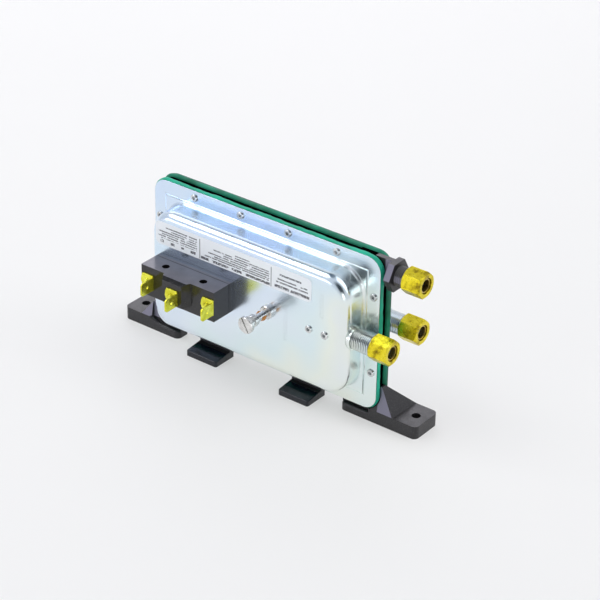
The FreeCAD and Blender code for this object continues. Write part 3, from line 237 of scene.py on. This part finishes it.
class Shader(Tree):
    """A node material that reads the object's own coordinates, in metres."""

    def __init__(self, name):
        self.material = bpy.data.materials.new(name)
        self.material.use_nodes = True
        super().__init__(self.material.node_tree)
        self.bsdf = next(n for n in self.tree.nodes if n.type == "BSDF_PRINCIPLED")
        places = self.tree.nodes.new("ShaderNodeTexCoord").outputs
        self.coordinates, self.own_normal = places["Object"], places["Normal"]

    def position(self):
        """The coordinates X, Y and Z."""
        return self.add("ShaderNodeSeparateXYZ", Vector=self.coordinates).outputs

    def math(self, operation, *values):
        node = self.tree.nodes.new("ShaderNodeMath")
        node.operation = operation
        for socket, setting in zip(node.inputs, values):
            self.put(socket, setting)
        return node.outputs[0]

    def away(self, value, place):
        """The distance from a coordinate to a place in millimetres."""
        return self.math("ABSOLUTE", self.math("SUBTRACT", value, place * MM))

    def above(self, value, place):
        return self.math("GREATER_THAN", value, place * MM)

    def below(self, value, place):
        return self.math("LESS_THAN", value, place * MM)

    def product(self, first, *others):
        """The values multiplied, which for masks is where all of them are."""
        for value in others:
            first = self.math("MULTIPLY", first, value)
        return first

    def largest(self, first, *others):
        """The largest of the values, which for masks is where any of them is."""
        for value in others:
            first = self.math("MAXIMUM", first, value)
        return first

    def hypotenuse(self, first, second):
        squares = (self.math("MULTIPLY", side, side) for side in (first, second))
        return self.math("SQRT", self.math("ADD", *squares))

    def noise(self, scale, detail=3.0, rough=0.5, vector=None):
        node = self.add("ShaderNodeTexNoise", Vector=vector or self.coordinates,
                        Scale=scale, Detail=detail, Roughness=rough)
        return node.outputs["Fac"]

    def span(self, value, low, high, start=0.3, end=0.7):
        """Goes from low to high while the value goes from start to end."""
        node = self.add("ShaderNodeMapRange", Value=value)
        for name, number in (("From Min", start), ("From Max", end), ("To Min", low), ("To Max", high)):
            node.inputs[name].default_value = number
        return node.outputs[0]

    def fade(self, value, start, end, share=1.0):
        """Goes from a share down to 0 between two places in millimetres."""
        return self.span(value, share, 0.0, start * MM, end * MM)

    def grow(self, value, start, end, share=1.0):
        """Goes from 0 up to a share between two places in millimetres."""
        return self.span(value, 0.0, share, start * MM, end * MM)

    def bump(self, height, distance, strength=1.0, normal=None):
        node = self.add("ShaderNodeBump", Height=height, Distance=distance, Strength=strength)
        if normal:
            self.tree.links.new(normal, node.inputs["Normal"])
        return node.outputs["Normal"]

    def edge(self, radius):
        """A normal that rounds the sharp edges over a small radius."""
        node = self.add("ShaderNodeBevel", Radius=radius)
        node.samples = 6
        return node.outputs["Normal"]

    def finish(self, colour, roughness, metallic=0.0, normal=None, **extra):
        self.put(self.bsdf.inputs["Base Color"], colour)
        self.put(self.bsdf.inputs["Roughness"], roughness)
        self.put(self.bsdf.inputs["Metallic"], metallic)
        if normal:
            self.put(self.bsdf.inputs["Normal"], normal)
        for name, setting in extra.items():
            self.put(self.bsdf.inputs[name.replace("_", " ")], setting)
        return self.material


def beyond_rounded(shader, half, corner):
    """How far a point lies outside a rounded rectangle round the middle of the case."""
    x_out, _, z_out = shader.position()
    sides = []
    for value, middle, extent in ((x_out, 0.0, half[0]), (z_out, CASE_Z, half[1])):
        over = shader.math("SUBTRACT", shader.away(value, middle), (extent - corner) * MM)
        sides.append(shader.math("MAXIMUM", over, 0.0))
    return shader.math("SUBTRACT", shader.hypotenuse(*sides), corner * MM)


def depth_from_middle(shader):
    """The distance in Y from the middle of the plate."""
    return shader.away(shader.position()[1], MID_Y)


def housing_edge(shader):
    """Normals with fine edges, but a wide soft curve at the root of the dome."""
    away = shader.math("ABSOLUTE", beyond_rounded(shader, DOME_HALF, DOME_CORNER))
    root = shader.product(shader.fade(away, *ROOT_REACH),
                          shader.fade(depth_from_middle(shader), *ROOT_DEPTH))
    return shader.edge(shader.math("MULTIPLY_ADD", root, ROOT_EDGE * MM, STEEL_EDGE * MM))


def thread_reach(shader):
    """The distance from the axis of the nearest fitting."""
    _, y_out, z_out = shader.position()
    nearest = 1.0
    for y, z, _, _ in THREADED.values():
        reach = shader.hypotenuse(shader.away(y_out, y), shader.away(z_out, z))
        nearest = shader.math("MINIMUM", nearest, reach)
    return nearest


def border(shader):
    """A fine line along the edge of the raised panel."""
    x_out, _, z_out = shader.position()
    across = shader.math("SUBTRACT", shader.away(x_out, 0.0), PANEL_HALF[0] * MM)
    up = shader.math("SUBTRACT", shader.away(z_out, CASE_Z), PANEL_HALF[1] * MM)
    away = shader.math("ABSOLUTE", shader.largest(across, up))
    return shader.fade(away, 0.0, BORDER_WIDTH)


def stamped(shader):
    """Faint generic boxes in two columns, where the face is stamped."""
    x_out, y_out, z_out = shader.position()
    step = shader.math("FRACT", shader.math("DIVIDE", z_out, STAMP_PITCH * MM))
    up = shader.math("ABSOLUTE", shader.math("SUBTRACT", step, 0.5))
    up = shader.math("DIVIDE", up, STAMP_HALF_SHARE)
    boxes = []
    for left, right, bottom, top in STAMPS:
        across = shader.away(x_out, (left + right) / 2)
        across = shader.math("DIVIDE", across, (right - left) / 2 * MM)
        reach = shader.largest(across, up)
        boxes.append(shader.product(
            shader.math("LESS_THAN", reach, 1.0), shader.math("GREATER_THAN", reach, STAMP_HOLLOW),
            shader.above(z_out, bottom), shader.below(z_out, top)))
    return shader.product(shader.largest(*boxes), shader.below(y_out, MID_Y))


def zinc(name, rough, housing=False, grooved=False):
    """Clear and blue zinc plating on drawn steel, with faint pastel clouds."""
    shader = Shader(name)
    tint = shader.ramp(shader.noise(14.0, detail=2.0),
                       (0.30, (0.72, 0.81, 0.95)), (0.42, (0.79, 0.87, 0.94)),
                       (0.52, (0.77, 0.89, 0.91)), (0.60, (0.87, 0.92, 0.85)),
                       (0.72, (0.80, 0.85, 0.96)))
    x_out, _, z_out = shader.position()
    rise = shader.math("SUBTRACT", z_out, shader.math("MULTIPLY", x_out, BLUE_SLOPE))
    blue = shader.grow(rise, *BLUE_HEIGHTS, share=BLUE_SHARE)
    tint = shader.blend(blue, tint, (0.62, 0.77, 0.99))
    roughness = shader.span(shader.noise(120.0, detail=2.0), *rough)
    normal = housing_edge(shader) if housing else shader.edge(STEEL_EDGE * MM)
    normal = shader.bump(shader.noise(30.0, detail=0.0), 0.0002, 0.15, normal)
    if grooved:
        reach = thread_reach(shader)
        groove = shader.product(shader.fade(reach, *GROOVE_RADII, share=GROOVE_SHARE),
                                shader.above(reach, GROOVE_START))
        tint = shader.blend(groove, tint, (0.10, 0.12, 0.12))
    if housing:
        normal = shader.bump(border(shader), 0.0003, 1.0, normal)
        normal = shader.bump(stamped(shader), 0.0005, 1.0, normal)
    return shader.finish(tint, roughness, 1.0, normal)


def lemon_zinc(name):
    """Bright greenish yellow plating."""
    shader = Shader(name)
    cloud = shader.noise(300.0, detail=2.0)
    tint = shader.ramp(cloud, (0.35, (0.72, 0.68, 0.03)), (0.65, (0.90, 0.90, 0.10)))
    normal = shader.bump(shader.noise(400.0, detail=1.0), 0.00005, 0.3, shader.edge(PART_EDGE * MM))
    return shader.finish(tint, shader.span(cloud, 0.18, 0.28), 0.75, normal)


def yellow_zinc(name):
    """Yellow dichromate plating, olive where it is thick."""
    shader = Shader(name)
    tint = shader.ramp(shader.noise(210.0, rough=0.6),
                       (0.30, (0.24, 0.17, 0.006)), (0.40, (0.52, 0.41, 0.012)),
                       (0.48, (0.74, 0.61, 0.02)), (0.7, (0.86, 0.74, 0.045)))
    roughness = shader.span(shader.noise(700.0), 0.24, 0.34)
    normal = shader.bump(shader.noise(260.0, detail=2.0), 0.0001, 0.35, shader.edge(PART_EDGE * MM))
    return shader.finish(tint, roughness, 0.85, normal)


def silicone(name, dark, light):
    """Matt green silicone with soft clouds."""
    shader = Shader(name)
    tint = shader.ramp(shader.noise(90.0), (0.35, dark), (0.65, light))
    normal = shader.bump(shader.noise(500.0), 0.00008, 0.4)
    return shader.finish(tint, 0.55, 0.0, normal, Specular_IOR_Level=0.3)


def painted_sheen_facets(shader):
    """The front facets of the hexagon and of the gussets over the feet, where a lavender sheen is
    painted.
    """
    facing = shader.add("ShaderNodeSeparateXYZ", Vector=shader.own_normal).outputs
    x_out, _, z_out = shader.position()
    return shader.product(shader.math("LESS_THAN", facing["Y"], FACET_FRONT),
                          shader.math("GREATER_THAN", facing["Z"], FACET_DOWN),
                          shader.above(z_out, FOOT_TOP),
                          shader.above(shader.away(x_out, 0.0), CASE_HALF[0] + END_MARGIN))


def black_plastic(name):
    """Glass-filled black plastic: speckled feet, glossy tabs with a painted navy reflection, a rim
    between the gaskets painted black as shade, a painted lavender sheen on the front facets and painted
    highlights on the stub's thread crests.
    """
    shader = Shader(name)
    x_out, y_out, z_out = shader.position()
    speckle = shader.noise(1300.0, rough=0.7)
    tint = shader.ramp(speckle, (0.45, (0.016, 0.015, 0.017)), (0.62, (0.030, 0.029, 0.031)),
                       (0.74, (0.085, 0.083, 0.085)))
    glossy_tab_and_painted_reflection = shader.product(shader.below(y_out, TAB_BACK), shader.below(z_out, TAB_TOP))
    # The tab tops are smoother, and painted dark navy as a painted reflection of the dome's shaded
    # underside.
    tint = shader.blend(glossy_tab_and_painted_reflection, tint, (0.006, 0.009, 0.016))
    # Painted lavender sheen on the front facets, standing in for the reflected bright floor.
    tint = shader.blend(painted_sheen_facets(shader), tint, (0.23, 0.22, 0.29))
    # Painted shade: the plate's rim in the recess between the gaskets is painted black, with its
    # specular turned off.
    out = beyond_rounded(shader, CASE_HALF, CASE_CORNER)
    rim_painted_shade = shader.product(shader.above(z_out, TAB_TOP), shader.below(out, PLATE_RIM_MARGIN),
                         shader.below(depth_from_middle(shader), PLATE_RIM_DEPTH))
    tint = shader.blend(rim_painted_shade, tint, (0.001, 0.001, 0.001))
    reach = thread_reach(shader)
    _, _, stub_start, _ = THREADED["centre_plate"]
    # Painted highlight on the crests of the black stub's thread.
    painted_crest_highlight = shader.product(shader.above(x_out, stub_start), shader.above(z_out, CASE_Z),
                           shader.grow(reach, *CREST_RADII), shader.below(reach, CREST_END))
    tint = shader.blend(painted_crest_highlight, tint, (0.13, 0.13, 0.13))
    roughness = shader.span(shader.noise(240.0), 0.30, 0.42)
    roughness = shader.math("SUBTRACT", roughness, shader.math("MULTIPLY", glossy_tab_and_painted_reflection, 0.18))
    specular = shader.math("MULTIPLY", shader.math("SUBTRACT", 1.0, rim_painted_shade), 0.5)
    normal = shader.bump(speckle, 0.00005, 0.4, shader.edge(PART_EDGE * MM))
    return shader.finish(tint, roughness, 0.0, normal, Specular_IOR_Level=specular)


def mottled(shader, scale, tint):
    """Clouds, and a colour that is a quarter darker in some of them."""
    cloud = shader.noise(scale)
    return cloud, shader.ramp(cloud, (0.35, tuple(0.75 * part for part in tint)), (0.65, tint))


def steel(name, tint, rough):
    """Plain metal of any colour."""
    shader = Shader(name)
    _, colour = mottled(shader, 300.0, tint)
    roughness = shader.span(shader.noise(700.0), *rough)
    return shader.finish(colour, roughness, 1.0, shader.edge(SMALL_EDGE * MM))


def plain_plastic(name, tint, rough=(0.3, 0.45), grain=0.00005, seam=None, top=None):
    """Plastic or lacquer, with a dark seam across Y and a painted pale lavender sheen above a height if
    given.
    """
    shader = Shader(name)
    cloud, colour = mottled(shader, 350.0, tint)
    roughness = shader.span(cloud, *rough)
    if top:
        # Painted sheen: above the given height the surface is painted a paler lavender grey, standing
        # in for the sheen of the top.
        painted_top_sheen = shader.product(shader.span(shader.noise(90.0), 0.7, 1.0),
                              shader.above(shader.position()[2], top))
        colour = shader.blend(painted_top_sheen, colour, (0.15, 0.15, 0.185))
    if seam:
        gap = shader.below(shader.away(shader.position()[1], seam), SEAM_WIDTH / 2)
        colour = shader.blend(gap, colour, (0.002, 0.002, 0.002))
        roughness = shader.math("ADD", roughness, shader.math("MULTIPLY", gap, 0.7))
    normal = shader.bump(shader.noise(1200.0), grain, 0.4, shader.edge(SWITCH_EDGE * MM))
    return shader.finish(colour, roughness, 0.0, normal)


def broken_rows(shader, rows, sizes):
    """Rows of print, broken into letters and words."""
    x_out, _, z_out = shader.position()
    ink = shader.largest(*(
        shader.product(shader.below(shader.away(z_out, middle), height / 2),
                       shader.above(x_out, left), shader.below(x_out, right))
        for left, right, middle, height in rows))
    for size, gaps in zip(sizes, PRINT_GAPS):
        place = shader.add("ShaderNodeCombineXYZ", X=shader.math("MULTIPLY", x_out, size),
                           Y=shader.math("MULTIPLY", z_out, size / 2)).outputs[0]
        bars = shader.noise(1.0, detail=1.0, vector=place)
        ink = shader.product(ink, shader.math("GREATER_THAN", bars, gaps))
    return ink


def label_print(name):
    """White film with generic rows of short bars where the print would be."""
    shader = Shader(name)
    small = [row for row in LABEL_ROWS if row[3] <= LARGE_PRINT_HEIGHT]
    large = [row for row in LABEL_ROWS if row[3] > LARGE_PRINT_HEIGHT]
    ink = [broken_rows(shader, small, SMALL_PRINT), broken_rows(shader, large, LARGE_PRINT)]
    x_out, _, z_out = shader.position()
    bottom, top = DIVIDER_ENDS
    for divider in LABEL_DIVIDERS:
        ink.append(shader.product(shader.below(shader.away(x_out, divider), DIVIDER_HALF_WIDTH),
                                  shader.above(z_out, bottom), shader.below(z_out, top)))
    paper = shader.ramp(shader.noise(60.0), (0.3, (0.92, 0.96, 0.98)), (0.7, (0.94, 0.98, 0.99)))
    ink = shader.math("MULTIPLY", shader.largest(*ink), 0.92)
    return shader.finish(shader.blend(ink, paper, (0.035, 0.035, 0.045)), 0.3)


def paint(material, *names):
    for name in names:
        mesh = nodes[name].data
        mesh.materials.clear()
        mesh.materials.append(material)


def paint_case():
    paint(zinc("zinc_housing", (0.20, 0.25), housing=True), "front_housing", "rear_housing")
    paint(zinc("zinc_tube", (0.2, 0.3), grooved=True), "front_port_tube", "rear_port_tube")
    # One silicone in two shades: the front gasket is painted lighter and the rear one darker, as
    # painted light and shade.
    paint(silicone("front_silicone_painted_light", (0.010, 0.34, 0.205), (0.018, 0.50, 0.32)), "front_diaphragm")
    paint(silicone("rear_silicone_painted_shade", (0.003, 0.14, 0.075), (0.006, 0.24, 0.14)), "rear_diaphragm")
    paint(black_plastic("moulded"), "centre_plate")
    paint(yellow_zinc("yellow_zinc"), "front_nut", "rear_nut", "centre_nut")
    paint(steel("ferrule_brass", (0.66, 0.50, 0.16), (0.25, 0.4)),
          "front_ferrule", "rear_ferrule", "centre_ferrule")
    paint(steel("bright_rivet", (0.72, 0.74, 0.74), (0.15, 0.3)), "flange_rivets", "lever_rivets")
    paint(label_print("label_print"), "label")


def paint_switch():
    paint(plain_plastic("switch_plastic", (0.020, 0.019, 0.020), (0.14, 0.22), grain=0.00002,
                        seam=SWITCH_SEAM, top=SWITCH_TOP), "switch_case", "switch_lid")
    paint(plain_plastic("plunger_plastic", (0.5, 0.06, 0.04)), "switch_plunger")
    paint(steel("contact_bronze", (0.75, 0.5, 0.3), (0.2, 0.35)), "switch_blade")
    paint(lemon_zinc("lemon_zinc"),
          "left_terminal", "middle_terminal", "right_terminal", "terminal_rivets")


def paint_mechanism():
    paint(steel("screw_steel", (0.80, 0.80, 0.78), (0.22, 0.36)), "adjusting_screw", "screw_bushing")
    paint(plain_plastic("lock_compound", (0.72, 0.28, 0.04), (0.15, 0.3)), "screw_lock")
    paint(steel("plain_steel", (0.66, 0.67, 0.68), (0.2, 0.35)),
          "lever_bracket", "lever_arm", "lever_pin", "switch_screws", "spring_seat", "blade_pin",
          "diaphragm_stud", "stud_nut", "calibration_spring")
    paint(steel("aluminium", (0.75, 0.76, 0.77), (0.3, 0.45)),
          "front_backing_plate", "rear_backing_plate", "diaphragm_spacer")


def smooth(item):
    """Smooth shading, with edges kept sharp above an angle."""
    for polygon in item.data.polygons:
        polygon.use_smooth = True
    item.data.set_sharp_from_angle(angle=math.radians(SMOOTH_ANGLE))


def place_in_scene(name, data):
    item = bpy.data.objects.new(name, data)
    scene.collection.objects.link(item)
    return item


def skin(name, mesh, work):
    """Puts an edited copy of a node of the case in its place."""
    work.to_mesh(mesh)
    work.free()
    mesh.name = name + "_skin"
    item = place_in_scene(name + "_skin", mesh)
    smooth(item)
    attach(item, "case")
    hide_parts(name)


def outside(x, z):
    """How far a point lies outside the rounded outline of the case, and the way out."""
    right = abs(x) - (CASE_HALF[0] - CASE_CORNER)
    up = abs(z) - (CASE_HALF[1] - CASE_CORNER)
    if right > 0 and up > 0:
        reach = math.hypot(right, up)
        away = (right / reach, up / reach)
    elif right > up:
        reach, away = right, (1.0, 0.0)
    else:
        reach, away = up, (0.0, 1.0)
    return reach - CASE_CORNER, (math.copysign(away[0], x), math.copysign(away[1], z))


def case_outline(step):
    """Points along the rounded outline of the case, with their outward directions."""
    half_x, half_z = (half - CASE_CORNER for half in CASE_HALF)
    stretches = ((half_x, -half_z, 0, 1, 2 * half_z), (half_x, half_z, -1, 0, 2 * half_x),
                 (-half_x, half_z, 0, -1, 2 * half_z), (-half_x, -half_z, 1, 0, 2 * half_x))
    for index, (x, z, along_x, along_z, length) in enumerate(stretches):
        out = (along_z, -along_x)
        count = round(length / step)
        for number in range(count):
            reach = length * number / count
            yield (x + out[0] * CASE_CORNER + along_x * reach,
                   z + out[1] * CASE_CORNER + along_z * reach, out)
        end = (x + along_x * length, z + along_z * length)
        bends = round(math.pi / 2 * CASE_CORNER / step)
        for number in range(bends):
            angle = math.radians(90 * index + 90 * number / bends)
            out = (math.cos(angle), math.sin(angle))
            yield end[0] + out[0] * CASE_CORNER, end[1] + out[1] * CASE_CORNER, out


def rim_section(bulge, low, high, flange_side):
    """Points of a gasket's rim, as ways out from the case and places in Y."""
    middle = (low + high + flange_side * GASKET_LIP) / 2
    half = (high - low + GASKET_LIP) / 2 - FACE_CLEARANCE
    flange = low + FACE_CLEARANCE if flange_side < 0 else high - FACE_CLEARANCE
    section = [(RIM_ROOT, flange), (LIP_CLEARANCE, flange)]
    for turn in range(-90, 91, 18):
        share = abs(math.cos(math.radians(turn))) ** RIM_SQUARENESS
        reach = RIM_ROOT + (bulge - RIM_ROOT) * share
        depth = middle + half * flange_side * -math.sin(math.radians(turn))
        if (depth - flange) * flange_side > 0:
            reach = max(reach, LIP_CLEARANCE)
        section.append((reach, depth))
    return section


def gasket(name, low, high, flange_side):
    """The diaphragm with a rim that bulges between the rivets and laps over the flange's edge."""
    chosen = random.Random(name)
    waves = [(chosen.uniform(*WAVE_SIZES), chosen.uniform(*WAVE_LENGTHS),
              chosen.uniform(*WAVE_STARTS)) for _ in range(RIM_WAVES)]
    mesh = nodes[name].data.copy()
    work = bmesh.new()
    work.from_mesh(mesh)
    for vertex in work.verts:
        x, z = vertex.co.x / MM, vertex.co.z / MM - CASE_Z
        reach, way = outside(x, z)
        if reach > -RIM_INSET:
            vertex.co.x = (x - way[0] * (reach + RIM_INSET)) * MM
            vertex.co.z = (z - way[1] * (reach + RIM_INSET) + CASE_Z) * MM
    rings = []
    for number, (x, z, out) in enumerate(case_outline(RIM_STEP), start=1):
        rivet = min(math.hypot(x - a, z - b) for a, b in RIVET_SPOTS)
        bulge = RIM_BULGE - PINCH * math.exp(-(max(rivet - PINCH_START, 0) / PINCH_FADE) ** 2)
        bulge += sum(size * math.sin(number * RIM_STEP / length * 2 * math.pi + start)
                     for size, length, start in waves)
        bulge = min(max(bulge, BULGE_LIMITS[0]), BULGE_LIMITS[1])
        rings.append([work.verts.new(((x + out[0] * reach) * MM, depth * MM,
                                      (z + out[1] * reach + CASE_Z) * MM))
                      for reach, depth in rim_section(bulge, low, high, flange_side)])
    for ring, following in zip(rings, rings[1:] + rings[:1]):
        for side in range(len(ring) - 1):
            corners = (ring[side], following[side], following[side + 1], ring[side + 1])
            work.faces.new(corners if flange_side < 0 else corners[::-1])
    skin(name, mesh, work)


def thread(name, y, z, start, end):
    """The node with a right-hand thread cut round its outside, along X."""
    mesh = nodes[name].data.copy()
    work = bmesh.new()
    work.from_mesh(mesh)
    core = THREAD_RADIUS - THREAD_DEPTH
    for vertex in work.verts:
        x, side, up = vertex.co.x / MM, vertex.co.y / MM - y, vertex.co.z / MM - z
        reach = math.hypot(side, up)
        along = start - END_TOLERANCE < x < end + END_TOLERANCE
        if along and abs(reach - THREAD_RADIUS) < RADIUS_TOLERANCE:
            share = (core - THREAD_SINK) / reach
            vertex.co.y, vertex.co.z = (y + side * share) * MM, (z + up * share) * MM
    rows = []
    for turn in range(-1, math.ceil((end - start) / THREAD_PITCH) + 1):
        for phase, depth in THREAD_PROFILE:
            row = []
            for column in range(THREAD_COLUMNS + 1):
                share = column / THREAD_COLUMNS
                angle = 2 * math.pi * share
                x = start + THREAD_PITCH * (turn + phase + share)
                reach = THREAD_RADIUS - THREAD_DEPTH * depth if start < x < end else core
                row.append(work.verts.new((min(max(x, start), end) * MM,
                                           (y + reach * math.cos(angle)) * MM,
                                           (z + reach * math.sin(angle)) * MM)))
            rows.append(row)
    added = [vertex for row in rows for vertex in row]
    for row, following in zip(rows, rows[1:]):
        for column in range(THREAD_COLUMNS):
            work.faces.new((row[column], row[column + 1], following[column + 1], following[column]))
    bmesh.ops.remove_doubles(work, verts=added, dist=WELD * MM)
    skin(name, mesh, work)


def spring_between(name):
    """A still copy of the spring, put in place of its node."""
    item = place_in_scene(name + "_skin", nodes[name].data.copy())
    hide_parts(name)
    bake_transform(item)


def lift_shadows(shader):
    """A part of the floor's light that shadows don't dim, for the camera and mirrors only."""
    path = shader.tree.nodes.new("ShaderNodeLightPath").outputs
    seen = shader.largest(path["Is Camera Ray"], path["Is Glossy Ray"])
    glow = shader.add("ShaderNodeEmission", Color=(*FLOOR_GLOW, 1.0), Strength=GLOW_STRENGTH)
    mixer = shader.add("ShaderNodeMixShader", Fac=shader.math("MULTIPLY", seen, FLOOR_LIFT))
    output = next(node for node in shader.tree.nodes if node.type == "OUTPUT_MATERIAL")
    shader.tree.links.new(shader.bsdf.outputs[0], mixer.inputs[1])
    shader.tree.links.new(glow.outputs[0], mixer.inputs[2])
    shader.tree.links.new(mixer.outputs[0], output.inputs["Surface"])


def floor():
    """A pale floor that bends up into the wall behind the part."""
    mesh = bpy.data.meshes.new("floor")
    profile = [(FLOOR_FRONT, 0.0), (FLOOR_BACK, 0.0)]
    for turn in range(6, 91, 6):
        angle = math.radians(turn)
        profile.append((FLOOR_BACK + FLOOR_BEND * math.sin(angle),
                        FLOOR_BEND - FLOOR_BEND * math.cos(angle)))
    profile.append((FLOOR_BACK + FLOOR_BEND, WALL_TOP))
    points = [(x, y, z) for y, z in profile for x in (-FLOOR_HALF_WIDTH, FLOOR_HALF_WIDTH)]
    faces = [(2 * i, 2 * i + 1, 2 * i + 3, 2 * i + 2) for i in range(len(profile) - 1)]
    mesh.from_pydata(points, [], faces)
    for polygon in mesh.polygons:
        polygon.use_smooth = True
    shader = Shader("floor")
    tint = shader.ramp(shader.noise(2.0), (0.3, (0.865, 0.861, 0.850)), (0.7, (0.888, 0.883, 0.871)))
    mesh.materials.append(shader.finish(tint, 0.7))
    lift_shadows(shader)
    item = place_in_scene("floor", mesh)
    item.rotation_euler = (0.0, 0.0, math.radians(FLOOR_TURN))


def room():
    """A pale room round the part, with its dim sides."""
    world = bpy.data.worlds.new("studio")
    scene.world = world
    world.use_nodes = True
    tree = Tree(world.node_tree)
    direction = tree.add("ShaderNodeTexCoord").outputs["Generated"]
    shades = []
    for place, start, end, colour in DIM_SIDES:
        towards = tree.add("ShaderNodeVectorMath")
        towards.operation = "DOT_PRODUCT"
        towards.inputs[1].default_value = place
        tree.put(towards.inputs[0], direction)
        shades.append(tree.ramp(towards.outputs["Value"], (start, ROOM_COLOUR), (end, colour)))
    background = world.node_tree.nodes["Background"]
    tree.put(background.inputs["Color"], tree.blend(1.0, *shades, mode="MULTIPLY"))
    tree.put(background.inputs["Strength"], ROOM_STRENGTH)


def light(name, place, target, size, power, colour):
    data = bpy.data.lights.new(name, "AREA")
    data.shape = "RECTANGLE"
    data.size, data.size_y = size
    data.energy = power
    data.color = colour
    lamp = place_in_scene(name, data)
    lamp.location = place
    aim = Vector(target) - Vector(place)
    lamp.rotation_euler = aim.to_track_quat("-Z", "Y").to_euler()


def camera():
    """The camera of the photo."""
    azimuth, elevation, roll = (math.radians(angle) for angle in CAMERA_ANGLES)
    back = Vector((math.sin(azimuth) * math.cos(elevation),
                   -math.cos(azimuth) * math.cos(elevation), math.sin(elevation)))
    right = (-back).cross(Vector((0.0, 0.0, 1.0))).normalized()
    up = right.cross(-back)
    turned_right = math.cos(roll) * right + math.sin(roll) * up
    turned_up = -math.sin(roll) * right + math.cos(roll) * up
    data = bpy.data.cameras.new("camera")
    data.sensor_width = SENSOR_WIDTH
    data.lens = FOCAL_PIXELS / PICTURE_PIXELS * SENSOR_WIDTH
    data.clip_start = CAMERA_NEAR
    item = place_in_scene("camera", data)
    turn = Matrix((turned_right, turned_up, back)).transposed()
    item.matrix_world = Matrix.Translation(Vector(CAMERA_PLACE)) @ turn.to_4x4()
    scene.camera = item


paint_case()
paint_switch()
paint_mechanism()
for node in nodes.values():
    smooth(node)
for diaphragm, faces in GASKETS.items():
    gasket(diaphragm, *faces)
for threaded, place in THREADED.items():
    thread(threaded, *place)
spring_between("calibration_spring")
floor()
room()
for lamp, settings in LIGHTS.items():
    light(lamp, *settings)
camera()
scene.view_settings.view_transform = "Standard"
